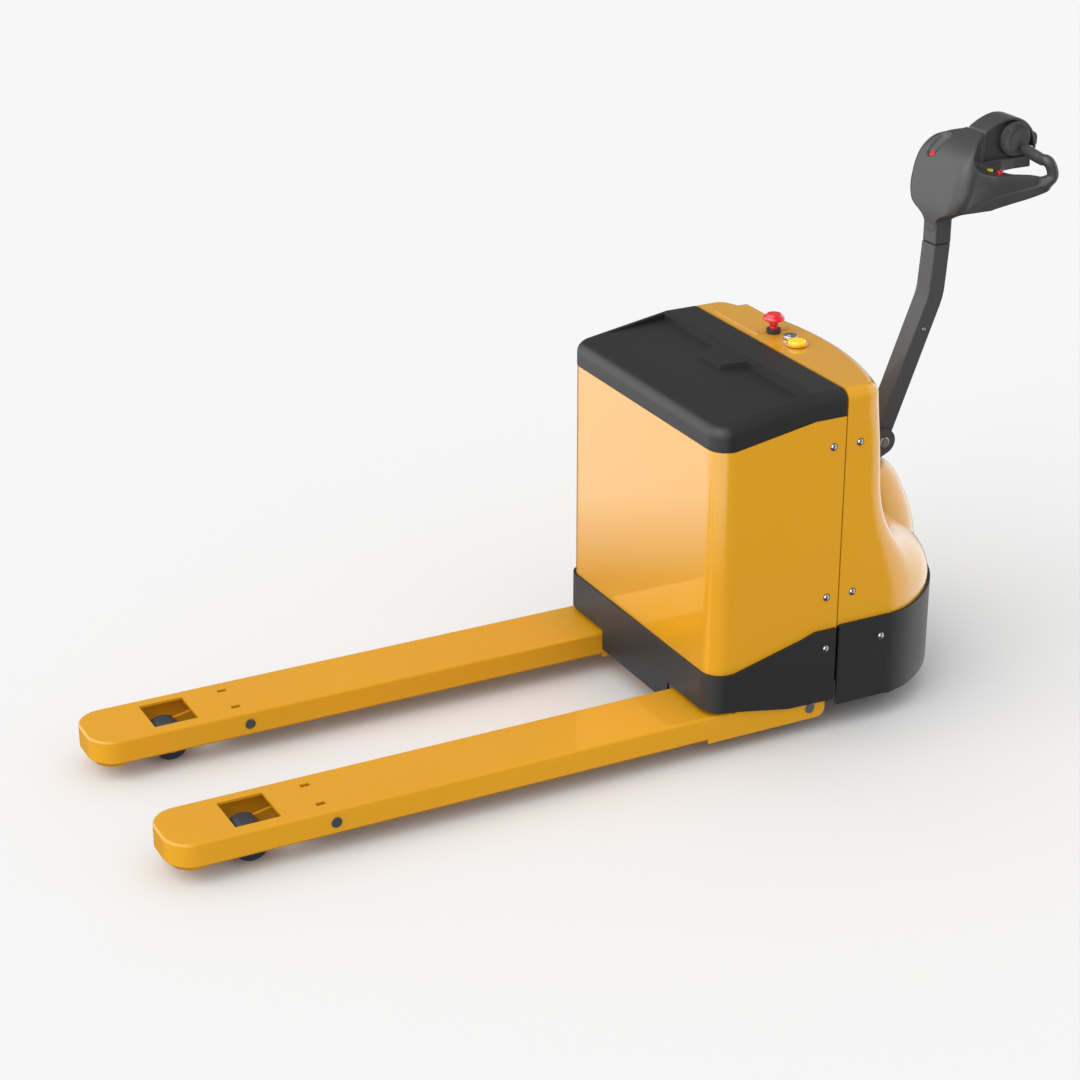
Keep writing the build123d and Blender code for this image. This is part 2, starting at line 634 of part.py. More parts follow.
with BuildPart() as slewing_ring:
    with Locations((steer_x, 0, deck_top)):
        Cylinder(neck_radius + 34, 14, align=(Align.CENTER, Align.CENTER, Align.MIN))
        Cylinder(neck_radius + running_gap, 40, mode=Mode.SUBTRACT)
save(slewing_ring.part, "slewing_ring")

# ---------------------------------------------------------------- rear cover, hood and skirt
hood_profile = ((166, 268), (159, 331), (147, 387), (125, 444), (99, 488))
hood_top = 505.0


def hood_body(inset):
    """Filled dome over the drive motor, turned about the steering axis."""
    points = [(r - inset, z) for r, z in hood_profile] + [(70 - inset, hood_top - inset)]
    with BuildPart(mode=Mode.PRIVATE) as dome:
        with BuildSketch(Plane.XZ):
            with BuildLine():
                side_line = Spline(*points, tangents=((0, 1), (-1, 0)), tangent_scalars=(0.5, 1))
                Polyline(side_line @ 1, (0, hood_top - inset), (0, hood_profile[0][1]), side_line @ 0)
            make_face()
        revolve(axis=Axis.Z)
    return dome.part.moved(Location((steer_x, 0, 0)))


rear_filled = rear_body()
hood_filled = hood_body(0)
with BuildPart() as rear_cover:
    add(rear_filled)
    add(rear_body(shell_wall), mode=Mode.SUBTRACT)
    add(hood_filled, mode=Mode.SUBTRACT)
    for x, y, radius in ((stop_x, stop_y, stop_neck), (lens_x, lens_y, lens_neck), (key_x, key_y, key_neck)):
        with Locations((x, y, cover_top)):
            Cylinder(radius, 40, mode=Mode.SUBTRACT)
save(rear_cover.part, "rear_cover")

with BuildPart() as motor_hood:
    add(hood_filled)
    add(hood_body(shell_wall), mode=Mode.SUBTRACT)
    add(rear_filled, mode=Mode.SUBTRACT)
    with Locations((steer_x, 0, hood_top)):
        Cylinder(34, 60, mode=Mode.SUBTRACT)
save(motor_hood.part, "motor_hood")

with BuildPart() as rear_skirt:
    for inset, mode in ((0, Mode.ADD), (6, Mode.SUBTRACT)):
        with BuildSketch(Plane.XY.offset(skirt_bottom)):
            with BuildLine():
                add(rear_outline(skirt_half, skirt_side_end, flare_corner, flare_turn, inset=inset))
            make_face()
        extrude(amount=skirt_top + 3 - skirt_bottom, mode=mode)
    with Locations((seam_x, 0, 0)):
        Box(10, 800, 800, mode=Mode.SUBTRACT)
save(rear_skirt.part, "rear_skirt")

# ---------------------------------------------------------------- controls on the rear cover
plate_top = cover_top + plate_thickness
with BuildPart() as control_plate:
    with BuildSketch(Plane.XY.offset(cover_top)):
        with Locations((seam_x - 18 - plate_length / 2, plate_y)):
            RectangleRounded(plate_length, 2 * plate_half_width, 6)
    extrude(amount=plate_thickness)
    for x, y, radius in ((stop_x, stop_y, stop_neck), (lens_x, lens_y, lens_neck), (key_x, key_y, key_neck)):
        with Locations((x, y, cover_top)):
            Cylinder(radius + running_gap, 40, mode=Mode.SUBTRACT)
save(control_plate.part, "control_plate")

stop_stem = 9.0
with BuildPart() as estop_collar:
    with Locations((stop_x, stop_y, plate_top)):
        Cylinder(17, 9, align=(Align.CENTER, Align.CENTER, Align.MIN))
        Cylinder(stop_neck, 42, align=(Align.CENTER, Align.CENTER, Align.MAX))
        Cylinder(stop_stem + running_gap, 200, mode=Mode.SUBTRACT)
save(estop_collar.part, "estop_collar")

with BuildPart() as estop_button:
    with BuildSketch(Plane.XZ) as half_section:
        with BuildLine():
            Polyline((0, -30), (stop_stem, -30), (stop_stem, 16), (12, 20), (12, 26), (stop_radius - 2, 30))
            edge = Spline((stop_radius - 2, 30), (stop_radius, 36), (stop_radius - 7, 43), (0, 46),
                          tangents=((1, 0.4), (-1, 0)))
            Line(edge @ 1, (0, -30))
        make_face()
    revolve(axis=Axis.Z)
estop_button.part.move(Location((stop_x, stop_y, plate_top)))
save(estop_button.part, "estop_button")

with BuildPart() as lamp_bezel:
    with Locations((lens_x, lens_y, plate_top)):
        Cylinder(lens_radius + 4, 5, align=(Align.CENTER, Align.CENTER, Align.MIN))
        Cylinder(lens_neck, 30, align=(Align.CENTER, Align.CENTER, Align.MAX))
    fillet(lamp_bezel.edges().sort_by(Axis.Z)[-1], 1.5)
save(lamp_bezel.part, "lamp_bezel")

with BuildPart() as lamp_lens:
    with Locations((lens_x, lens_y, plate_top + 5)):
        Cylinder(lens_radius, 7, align=(Align.CENTER, Align.CENTER, Align.MIN))
    fillet(lamp_lens.edges().sort_by(Axis.Z)[-1], 5)
save(lamp_lens.part, "lamp_lens")

rotor_radius = 8.0
with BuildPart() as key_barrel:
    with Locations((key_x, key_y, plate_top)):
        Cylinder(key_radius, 7, align=(Align.CENTER, Align.CENTER, Align.MIN))
        Cylinder(key_neck, 34, align=(Align.CENTER, Align.CENTER, Align.MAX))
    fillet(key_barrel.edges().sort_by(Axis.Z)[-1], 2)
    with Locations((key_x, key_y, plate_top + 7)):
        Cylinder(rotor_radius + running_gap, 26, mode=Mode.SUBTRACT,
                 align=(Align.CENTER, Align.CENTER, Align.MAX))
save(key_barrel.part, "key_barrel")

with BuildPart() as key_rotor:
    with Locations((key_x, key_y, plate_top + 8)):
        Cylinder(rotor_radius, 26, align=(Align.CENTER, Align.CENTER, Align.MAX))
        Box(9, 1.8, 6, mode=Mode.SUBTRACT)
save(key_rotor.part, "key_rotor")

rear_screw_x = seam_x - 39
with BuildPart() as chassis_screws:
    for side, s in sides:
        for z in (712, 344):
            add(cap_screw((rear_screw_x, s * cover_half, z), (0, s, 0)))
        add(cap_screw((seam_x - 121, s * skirt_half, 217), (0, s, 0)))
        for x in (seam_x - 25, seam_x - 11 - plate_length):
            add(cap_screw((x, plate_y + s * (plate_half_width - 8), plate_top), (0, 0, 1), 3.0, 1.5))
    add(cap_screw((rear_face, 0, 217), (-1, 0, 0)))
save(chassis_screws.part, "chassis_screws")

# ---------------------------------------------------------------- drive unit that steers
wheel_gap = 4.0
neck_top = deck_top + 18
with BuildPart() as gearbox:
    with Locations((steer_x, 0, deck_z - 4)):
        Cylinder(neck_radius + 12, 24, align=(Align.CENTER, Align.CENTER, Align.MAX))
    with Locations((steer_x, 0, neck_top)):
        Cylinder(neck_radius, neck_top - deck_z + 10, align=(Align.CENTER, Align.CENTER, Align.MAX))
    leg_y = drive_width / 2 + wheel_gap
    with BuildSketch(Plane.XZ.offset(-leg_y)) as leg:
        with Locations((steer_x, drive_radius)):
            Circle(48)
        with Locations((steer_x, deck_z - 20)):
            Rectangle(120, 30)
        make_hull()
    extrude(amount=-38)
    fillet(gearbox.faces().sort_by(Axis.Y)[-1].edges().filter_by(GeomType.CIRCLE), 10)
    add(bar_y(16, leg_y + drive_width / 2, steer_x, (leg_y - drive_width / 2) / 2, drive_radius))
save(gearbox.part, "gearbox")

with BuildPart() as drive_wheel:
    add(bar_y(drive_radius - 30, drive_width, steer_x, 0, drive_radius))
    for k in (-1, 1):
        with Locations(Plane((steer_x, k * drive_width / 2, drive_radius), z_dir=(0, k, 0))):
            with Locations((0, 0, -12)):
                Cylinder(drive_radius - 45, 12, mode=Mode.SUBTRACT,
                         align=(Align.CENTER, Align.CENTER, Align.MIN))
                Cylinder(32, 12, align=(Align.CENTER, Align.CENTER, Align.MIN))
    add(bar_y(16 + running_gap, 300, steer_x, 0, drive_radius), mode=Mode.SUBTRACT)
save(drive_wheel.part, "drive_wheel")

with BuildPart() as drive_tyre:
    add(bar_y(drive_radius, drive_width, steer_x, 0, drive_radius))
    chamfer(drive_tyre.edges().filter_by(GeomType.CIRCLE), 4)
    add(bar_y(drive_radius - 30, 300, steer_x, 0, drive_radius), mode=Mode.SUBTRACT)
save(drive_tyre.part, "drive_tyre")

motor_top = neck_top + 132
with BuildPart() as drive_motor:
    with Locations((steer_x, 0, neck_top)):
        Cylinder(70, motor_top - neck_top, align=(Align.CENTER, Align.CENTER, Align.MIN))
    fillet(drive_motor.edges().sort_by(Axis.Z)[-1], 8)
    with Locations((steer_x, 0, (neck_top + motor_top) / 2)):
        with PolarLocations(72, 24):
            Box(8, 4, 90, mode=Mode.SUBTRACT)
save(drive_motor.part, "drive_motor")

brake_top = motor_top + 26
with BuildPart() as parking_brake:
    with Locations((steer_x, 0, motor_top)):
        Cylinder(48, brake_top - motor_top, align=(Align.CENTER, Align.CENTER, Align.MIN))
save(parking_brake.part, "parking_brake")

# ---------------------------------------------------------------- tiller base, arm and pin
ear_y = tiller_width / 2 + 0.5 + ear_plate / 2
with BuildPart() as tiller_base:
    with Locations((steer_x, 0, brake_top)):
        Cylinder(30, 34, align=(Align.CENTER, Align.CENTER, Align.MIN))
    base_z = brake_top + 34
    with Locations((steer_x, 0, base_z)):
        Cylinder(52, 12, align=(Align.CENTER, Align.CENTER, Align.MIN))
    for k in (-1, 1):
        with BuildSketch(Plane.XZ.offset(-k * ear_y)):
            with Locations((pivot_x, tiller_pivot_z)):
                Circle(ear_radius)
            with Locations((steer_x - 10, base_z + 6)):
                Rectangle(70, 12)
            make_hull()
        extrude(amount=ear_plate / 2, both=True)
    with Locations((steer_x + 24, 0, base_z)):
        Box(steer_x + 24 - pivot_x - ear_radius, 2 * ear_y, 34, align=(Align.MAX, Align.CENTER, Align.MIN))
    add(bar_y(pin_radius, 200, pivot_x, 0, tiller_pivot_z), mode=Mode.SUBTRACT)
save(tiller_base.part, "tiller_base")

with BuildPart() as tiller_pin:
    add(bar_y(pin_radius, 2 * ear_y + ear_plate, pivot_x, 0, tiller_pivot_z))
    for k in (-1, 1):
        add(cap_screw((pivot_x, k * (ear_y + ear_plate / 2), tiller_pivot_z), (0, k, 0), 13, 5))
save(tiller_pin.part, "tiller_pin")

bend = (pivot_x - bend_back, tiller_pivot_z + bend_up)
joint = (pivot_x - joint_back, tiller_pivot_z + joint_up)
with BuildPart() as tiller_arm:
    with BuildLine(Plane.XZ):
        past = (joint[0] + 0.1 * (joint[0] - bend[0]), joint[1] + 0.1 * (joint[1] - bend[1]))
        centre_line = FilletPolyline((pivot_x, tiller_pivot_z), bend, past, radius=140)
    with BuildSketch(Plane(origin=centre_line @ 0, z_dir=centre_line % 0, x_dir=(0, 1, 0))) as section:
        RectangleRounded(tiller_width, tiller_depth, 3)
    sweep(path=centre_line)
    with Locations((joint[0], 0, joint[1])):
        Box(100, 100, 100, mode=Mode.SUBTRACT, align=(Align.CENTER, Align.CENTER, Align.MIN))
    add(bar_y(ear_radius - 2, tiller_width, pivot_x, 0, tiller_pivot_z))
    add(bar_y(pin_radius + running_gap, 200, pivot_x, 0, tiller_pivot_z), mode=Mode.SUBTRACT)
save(tiller_arm.part, "tiller_arm")

# ---------------------------------------------------------------- tiller head
loop_top = 1208.0
shelf_z = 1193.0
hood_half, hood_radius, hood_wall = 33.0, 54.0, 7.0
drum_x, drum_z = head_rear + 16 + hood_radius, loop_top - 5 + hood_radius
hood_front = head_rear + 166
loop_rear = head_rear + 20
grip_x, grip_z = head_rear + 54, loop_top + 8
button_radius, button_rise = 8.0, 6.0
button_places = {"yellow": (head_rear + 154, 52.0), "red": (head_rear + 143, 76.0)}
opening_front = head_rear + 122
neck_half = tiller_width / 2 - 2
with BuildPart() as tiller_head:
    with BuildSketch(Plane.XZ):
        with BuildLine():
            Polyline((joint[0] + 20, joint[1]), (joint[0] + 22, joint[1] + 52), (joint[0] + 18, joint[1] + 137),
                     (joint[0] + 5, joint[1] + 192), (joint[0] - 30, joint[1] + 229),
                     (hood_front + 14, joint[1] + 257), (hood_front, joint[1] + 260), (hood_front, loop_top),
                     (loop_rear + 10, loop_top), (loop_rear, loop_top - 14), (loop_rear, loop_top - 44),
                     (loop_rear + 26, loop_top - 64), (loop_rear + 106, loop_top - 86),
                     (joint[0] - 56, joint[1] + 70), (joint[0] - 28, joint[1] + 43),
                     (joint[0] - 20, joint[1]), close=True)
        make_face()
    extrude(amount=head_half_width + 10, both=True)
    with BuildSketch(Plane.YZ.offset(head_rear - 100)):
        with BuildLine():
            front_view = Polyline((0, joint[1] - 1), (neck_half, joint[1] - 1), (neck_half, joint[1] + 55),
                                  (neck_half + 45, joint[1] + 115), (head_half_width + 1, joint[1] + 122),
                                  (head_half_width + 1, loop_top), (96, loop_top + 8), (88, joint[1] + 229),
                                  (50, joint[1] + 262), (0, joint[1] + 264))
            mirror(front_view, about=Plane.YZ)
        make_face()
    extrude(amount=600, mode=Mode.INTERSECT)
    with BuildSketch(Plane.XY.offset(joint[1] - 100)):
        with BuildLine():
            outline = Polyline((joint[0] + 40, 0), (joint[0] + 40, 60), (joint[0] + 17, 97),
                               (joint[0] - 75, 99), (opening_front + 4, 112), (opening_front - 46, 134),
                               (loop_rear + 18, head_half_width), (loop_rear, head_half_width - 14),
                               (loop_rear, 0))
            mirror(outline, about=Plane.XZ)
        make_face()
    extrude(amount=600, mode=Mode.INTERSECT)
    for s in (-1, 1):
        with BuildSketch(Plane.XY.offset(joint[1])):
            with BuildLine():
                Polyline((opening_front, s * 40), (opening_front, s * 92), (grip_x + grip_radius + 2, s * 116),
                         (loop_rear - 5, s * 116), (loop_rear - 5, s * 40), close=True)
            make_face()
        extrude(amount=300, mode=Mode.SUBTRACT)
        with Locations((hood_front - 3, s * (hood_half + 1), shelf_z)):
            Box(hood_front - 3 - opening_front + 1, 58, 60, mode=Mode.SUBTRACT,
                align=(Align.MAX, Align.MIN if s > 0 else Align.MAX, Align.MIN))
        for x, y in button_places.values():
            with Locations((x, s * y, shelf_z)):
                Cylinder(button_radius + running_gap, 12, mode=Mode.SUBTRACT,
                         align=(Align.CENTER, Align.CENTER, Align.MAX))
save(tiller_head.part, "tiller_head")


def hood_hull(radius, rear, front, top, low, half):
    """Prism along Y over the drum circle stretched forwards to the head and down at the rear."""
    with BuildPart(mode=Mode.PRIVATE) as prism:
        with BuildSketch(Plane.XZ):
            with Locations((drum_x, drum_z)):
                Circle(radius)
            with BuildLine():
                Polyline((front, top), (front, low), (rear, low), close=True)
            make_face()
            make_hull()
        extrude(amount=half, both=True)
    return prism.part


axle_radius = 6.0
cheek_y, cheek_wall = 20.0, 4.0
with BuildPart() as head_hood:
    add(hood_hull(hood_radius, loop_rear + 1, hood_front, joint[1] + 260, loop_top, hood_half))
    inside = hood_hull(hood_radius - hood_wall, loop_rear + 8, hood_front + 1, joint[1] + 252, loop_top - 5,
                       hood_half + 5)
    for s in (-1, 1):
        add(inside.moved(Location((0, s * (hood_half + 5 + cheek_y + cheek_wall), 0))), mode=Mode.SUBTRACT)
    add(hood_hull(hood_radius - hood_wall, loop_rear + 8, hood_front + 1, joint[1] + 252, loop_top - 5,
                  cheek_y), mode=Mode.SUBTRACT)
    with Locations((drum_x, 0, loop_top)):
        Box(400, 400, 100, mode=Mode.SUBTRACT, align=(Align.CENTER, Align.CENTER, Align.MAX))
    add(bar_y(axle_radius + running_gap, 100, drum_x, 0, drum_z), mode=Mode.SUBTRACT)
    with Locations((loop_rear, 0, drum_z - 12)):
        Cylinder(axle_radius + running_gap, 60, rotation=(0, 90, 0), mode=Mode.SUBTRACT)
save(head_hood.part, "head_hood")

disc_radius = hood_radius - hood_wall - 8
with BuildPart() as throttle:
    add(bar_y(axle_radius, 2 * hood_half - 4, drum_x, 0, drum_z))
    for s in (-1, 1):
        disc_start = cheek_y + cheek_wall + 0.6
        add(bar_y(disc_radius, 8, drum_x, s * (disc_start + 4), drum_z))
        with Locations(Plane((drum_x, s * (disc_start + 2), drum_z), x_dir=(-cos(0.6), 0, sin(0.6)),
                             z_dir=(0, s, 0))):
            Box(disc_radius + 4, 10, 30, align=(Align.MIN, Align.CENTER, Align.MIN))
save(throttle.part, "throttle")

with BuildPart() as belly_button:
    with BuildSketch(Plane((head_rear, 0, drum_z - 12), x_dir=(0, 1, 0), z_dir=(1, 0, 0))):
        RectangleRounded(50, 34, 12)
    extrude(amount=9)
    fillet(belly_button.faces().sort_by(Axis.X)[0].edges(), 3)
    with Locations((head_rear + 9, 0, drum_z - 12)):
        Cylinder(axle_radius, 18, rotation=(0, 90, 0), align=(Align.CENTER, Align.CENTER, Align.MIN))
save(belly_button.part, "belly_button")

with BuildPart() as grip_bars:
    for s in (-1, 1):
        length = head_half_width - 12 - hood_half - 3
        add(bar_y(grip_radius, length, grip_x, s * (hood_half + 3 + length / 2), grip_z))
save(grip_bars.part, "grip_bars")

for side, s in sides:
    for colour, name in (("yellow", "lift" if side == "left" else "lower"), ("red", f"{side}_horn")):
        with BuildPart() as button:
            x, y = button_places[colour]
            with Locations((x, s * y, shelf_z + button_rise)):
                Cylinder(button_radius, button_rise + 6, align=(Align.CENTER, Align.CENTER, Align.MAX))
            fillet(button.edges().sort_by(Axis.Z)[-1], 2)
        save(button.part, f"{name}_button")

arm_screw_up = 265.0
arm_screw_x = pivot_x - bend_back * arm_screw_up / bend_up
with BuildPart() as tiller_screws:
    for side, s in sides:
        add(cap_screw((arm_screw_x, s * tiller_width / 2, tiller_pivot_z + arm_screw_up), (0, s, 0), 5.0, 3.0))
save(tiller_screws.part, "tiller_screws")

# ---------------------------------------------------------------- side casters
stem_radius = 12.0
fork_plate_z = 2 * caster_radius + 18
for side, s in sides:
    y = s * caster_offset
    axle_x = caster_x - caster_trail
    with BuildPart() as caster_fork:
        with Locations((caster_x, y, fork_plate_z)):
            Cylinder(30, 10, align=(Align.CENTER, Align.CENTER, Align.MIN))
            Cylinder(stem_radius, 48, align=(Align.CENTER, Align.CENTER, Align.MIN))
        for k in (-1, 1):
            with BuildSketch(Plane.XZ.offset(-y - k * (caster_width / 2 + 5))):
                with Locations((axle_x, caster_radius)):
                    Circle(14)
                with Locations((caster_x, fork_plate_z + 4)):
                    Rectangle(40, 8)
                make_hull()
            extrude(amount=3, both=True)
        add(bar_y(7, caster_width + 16, axle_x, y, caster_radius))
    save(caster_fork.part, f"{side}_caster_fork")
    with BuildPart() as caster_wheel:
        add(bar_y(caster_radius, caster_width, axle_x, y, caster_radius))
        fillet(caster_wheel.edges().filter_by(GeomType.CIRCLE), 5)
        add(bar_y(7 + running_gap, 100, axle_x, y, caster_radius), mode=Mode.SUBTRACT)
    save(caster_wheel.part, f"{side}_caster_wheel")
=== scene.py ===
"""Electric pallet truck: forks and battery case that lift together, a drive unit and a tiller."""
import bpy
import numpy as np
from math import cos, pi, radians, sin
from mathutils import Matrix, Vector


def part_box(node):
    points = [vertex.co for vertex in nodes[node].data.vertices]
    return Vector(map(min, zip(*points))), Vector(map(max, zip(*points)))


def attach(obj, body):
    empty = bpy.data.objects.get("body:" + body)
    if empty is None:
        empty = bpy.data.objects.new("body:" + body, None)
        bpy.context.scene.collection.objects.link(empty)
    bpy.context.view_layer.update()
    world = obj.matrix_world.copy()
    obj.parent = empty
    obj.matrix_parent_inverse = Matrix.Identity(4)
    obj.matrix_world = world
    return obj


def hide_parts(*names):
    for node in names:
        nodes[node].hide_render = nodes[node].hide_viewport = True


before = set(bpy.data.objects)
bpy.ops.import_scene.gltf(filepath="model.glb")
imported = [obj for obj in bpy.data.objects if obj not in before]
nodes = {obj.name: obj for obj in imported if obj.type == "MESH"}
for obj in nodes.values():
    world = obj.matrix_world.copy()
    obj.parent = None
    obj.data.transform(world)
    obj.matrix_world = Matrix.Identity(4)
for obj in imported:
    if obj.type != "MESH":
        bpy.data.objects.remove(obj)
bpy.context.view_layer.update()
MM = 0.001

# ---------------------------------------------------------------- studio
# A pale floor under an even pale sky, with one very wide sun. Mirror rays see a darker room with a
# pale wall beyond the fork tips, so paint that faces the forks goes pale and the sides stay deep.
# way_x runs towards the fork tips and way_z upwards, each from -1 to 1.
scene = bpy.context.scene
scene.view_settings.view_transform = "Standard"
sky_level, room_level, ground_level, wall_level, rear_level = 0.93, 0.20, 0.02, 1.9, 1.2
world = bpy.data.worlds.new("studio_sky")
world.use_nodes = True
world.cycles.sampling_method = "NONE"
scene.world = world


def sky_node(kind, settings, inputs, output=0):
    made = world.node_tree.nodes.new(kind)
    for key, value in settings.items():
        setattr(made, key, value)
    for key, value in inputs.items():
        if isinstance(value, bpy.types.NodeSocket):
            world.node_tree.links.new(value, made.inputs[key])
        else:
            made.inputs[key].default_value = value
    return made.outputs[output]


def ramp(value, low, high, first, last):
    return sky_node("ShaderNodeMapRange", {"clamp": True},
                    {"Value": value, "From Min": low, "From Max": high,
                     "To Min": first, "To Max": last})


def sky_sum(operation, first, second):
    return sky_node("ShaderNodeMath", {"operation": operation}, {0: first, 1: second})


way = sky_node("ShaderNodeTexCoord", {}, {}, "Generated")
way_x = sky_node("ShaderNodeSeparateXYZ", {}, {"Vector": way}, "X")
way_z = sky_node("ShaderNodeSeparateXYZ", {}, {"Vector": way}, "Z")
wall = sky_sum("MULTIPLY", ramp(way_x, 0.08, 0.38, 0.0, wall_level),
               ramp(way_z, -0.415, -0.385, 0.0, 1.0))
rear_wall = ramp(way_x, -0.78, -0.58, rear_level, 0.0)
horizon = ramp(way_z, -0.1, 0.1, ground_level, room_level)
room = sky_sum("ADD", sky_sum("ADD", wall, rear_wall), horizon)
mirror_ray = sky_node("ShaderNodeLightPath", {}, {}, "Is Glossy Ray")
seen = sky_sum("ADD", sky_sum("MULTIPLY", mirror_ray, room),
               sky_sum("MULTIPLY", sky_sum("SUBTRACT", 1.0, mirror_ray), sky_level))
world.node_tree.links.new(seen, world.node_tree.nodes["Background"].inputs["Color"])

camera = bpy.data.objects.new("camera", bpy.data.cameras.new("camera"))
scene.collection.objects.link(camera)
camera.data.lens, camera.data.sensor_width = 85.54, 36.0
camera.location = (2.5836, 4.7597, 2.8128)
camera_aim = Vector((-0.3428, -0.9428, 0.0)) - camera.location
camera.rotation_mode = "QUATERNION"
camera.rotation_quaternion = camera_aim.to_track_quat("-Z", "Y")
camera.data.clip_end = 200
scene.camera = camera

sun = bpy.data.objects.new("wide_sun", bpy.data.lights.new("wide_sun", "SUN"))
scene.collection.objects.link(sun)
sun.data.energy, sun.data.angle = 1.4, radians(60)
sun.rotation_mode = "QUATERNION"
sun_way = Vector((-0.74, -0.143, -0.657))
sun.rotation_quaternion = sun_way.to_track_quat("-Z", "Y")

floor_half = 60.0
floor_mesh = bpy.data.meshes.new("floor")
floor_corners = ((-1, -1), (1, -1), (1, 1), (-1, 1))
floor_mesh.from_pydata([(x * floor_half, y * floor_half, 0) for x, y in floor_corners],
                       [], [(0, 1, 2, 3)])
floor = bpy.data.objects.new("floor", floor_mesh)
scene.collection.objects.link(floor)
floor.visible_glossy = False

# ---------------------------------------------------------------- painted steel
# The covers, forks and frame are pressed and welded steel plate. The covers have a deep gloss top
# coat over yellow-orange powder; the forks and the frame are plainer and carry faint scuffs.


class Level:
    """A value that varies over a finish; sums on it become Math nodes."""

    def __init__(self, finish, socket):
        self.finish, self.socket = finish, socket

    def sum(self, operation, first, second):
        return self.finish.node("ShaderNodeMath", {"operation": operation}, {0: first, 1: second})

    def __add__(self, other):
        return self.sum("ADD", self, other)

    def __mul__(self, other):
        return self.sum("MULTIPLY", self, other)

    __radd__, __rmul__ = __add__, __mul__


class Finish:
    """A material whose shader takes plain numbers, and whose other nodes all come from node()."""

    def __init__(self, name, **shader):
        self.material = bpy.data.materials.new(name)
        self.material.use_nodes = True
        self.tree = self.material.node_tree
        self.shader = self.tree.nodes["Principled BSDF"]
        for socket, value in shader.items():
            label = socket.replace("_", " ").title().replace("Ior", "IOR")
            self.shader.inputs[label].default_value = value

    def node(self, kind, settings, inputs, output=0):
        made = self.tree.nodes.new(kind)
        for key, value in settings.items():
            setattr(made, key, value)
        for key, value in inputs.items():
            if isinstance(value, Level):
                self.tree.links.new(value.socket, made.inputs[key])
            else:
                made.inputs[key].default_value = value
        return Level(self, made.outputs[output])

    def place(self):
        return self.node("ShaderNodeTexCoord", {}, {}, "Object")

    def noise(self, scale, detail=2.0, roughness=0.5, where=None):
        return self.node("ShaderNodeTexNoise", {},
                         {"Vector": where or self.place(), "Scale": scale,
                          "Detail": detail, "Roughness": roughness})

    def between(self, factor, low, high):
        """How far a factor is on its way from low to high, held at 0 and 1."""
        return self.node("ShaderNodeMapRange", {"clamp": True},
                         {"Value": factor, "From Min": low, "From Max": high})

    def mixed(self, factor, first, second):
        """One colour turned into another by a factor; 6, 7 and 2 are the node's colour sockets."""
        return self.node("ShaderNodeMix", {"data_type": "RGBA"},
                         {0: factor, 6: (*first, 1), 7: (*second, 1)}, 2)

    def drive(self, socket, level):
        self.tree.links.new(level.socket, self.shader.inputs[socket])

    def relief(self, height, depth):
        """Surface relief of the given depth in metres."""
        bump = self.node("ShaderNodeBump", {},
                         {"Strength": 1.0, "Distance": depth, "Height": height})
        self.drive("Normal", bump)


def tinted(colour, by):
    """A colour made paler or darker, held at full white."""
    return tuple(min(part * by, 1.0) for part in colour)


def paint(name, colour, roughness, gloss, wear):
    """Sprayed steel: slow drift of shade, orange-peel relief and, with wear, dull scuffs."""
    finish = Finish(name, roughness=roughness, coat_weight=gloss, coat_roughness=0.035,
                    coat_ior=1.55, specular_ior_level=0.25)
    drift = finish.noise(2.5, 1.0)
    scuff = finish.between(finish.noise(38.0, 6.0, 0.7), 0.58, 0.72) * wear
    finish.drive("Base Color", finish.mixed(drift * 0.6 + scuff * 0.5,
                                            tinted(colour, 0.95), tinted(colour, 1.07)))
    finish.drive("Roughness", roughness + scuff * 0.25 + finish.noise(14.0) * 0.05)
    finish.relief(finish.noise(210.0, 1.0), 0.00005 + 0.00006 * wear)
    return finish.material


orange = (0.72, 0.340, 0.0080)
cover_paint = paint("cover_gloss_paint", orange, 0.30, 1.0, 0.0)
fork_paint = paint("fork_paint", orange, 0.36, 0.45, 0.7)
frame_paint = paint("frame_black_paint", (0.030, 0.030, 0.031), 0.45, 0.1, 0.6)


def dress(finish, *names):
    """Gives each CAD node its finish, in place of its plain colour."""
    for name in names:
        node = nodes[name]
        node.data.materials.clear()
        node.data.materials.append(finish)


dress(cover_paint, "rear_cover", "motor_hood", "front_cover", "control_plate")
dress(fork_paint, "left_fork", "right_fork", "heel_frame", "left_load_arm", "right_load_arm")
dress(frame_paint, "drive_chassis", "battery_tray", "torsion_shaft", "left_caster_fork",
      "right_caster_fork", "parking_brake", "line_contactor")

# ---------------------------------------------------------------- black mouldings
# The skirts and the battery lid are injection-moulded in grained black plastic: bumpers low down
# round both units, screwed to the chassis, and a lid with a sunk tray, hinged over the battery.


def moulding(name, colour, roughness, grain, depth):
    """Moulded plastic with a pebbled grain; the grain's hollows are painted a little darker, a
    painted shade, and duller.
    """
    finish = Finish(name, roughness=roughness, specular_ior_level=0.45)
    pebble_and_hollow_shade = finish.node("ShaderNodeTexVoronoi", {"feature": "SMOOTH_F1"},
                         {"Vector": finish.place(), "Scale": grain, "Smoothness": 0.7})
    fine = finish.noise(grain * 2.2, 2.0)
    cloud = finish.noise(5.0, 3.0)
    # The grain's height also darkens the colour in its hollows: painted shade, besides the slow
    # cloudy tone.
    finish.drive("Base Color", finish.mixed(cloud * 0.7 + pebble_and_hollow_shade * 0.4,
                                            tinted(colour, 0.85), tinted(colour, 1.25)))
    finish.drive("Roughness", roughness - 0.05 + cloud * 0.1)
    finish.relief(pebble_and_hollow_shade * 0.7 + fine * 0.3, depth)
    return finish.material


skirt_plastic = moulding("skirt_grained_plastic", (0.014, 0.014, 0.015), 0.50, 420.0, 0.00022)
lid_plastic = moulding("lid_grained_plastic", (0.014, 0.014, 0.015), 0.44, 420.0, 0.00022)
dress(skirt_plastic, "rear_skirt", "front_skirt")
dress(lid_plastic, "battery_lid")

# ---------------------------------------------------------------- bare and plated steel
# Pins, shafts and hinges are turned from steel bar and keep fine marks round them. The linkage pins
# and rods are zinc plated; housings are cast iron and the motor and controller cases are alloy.


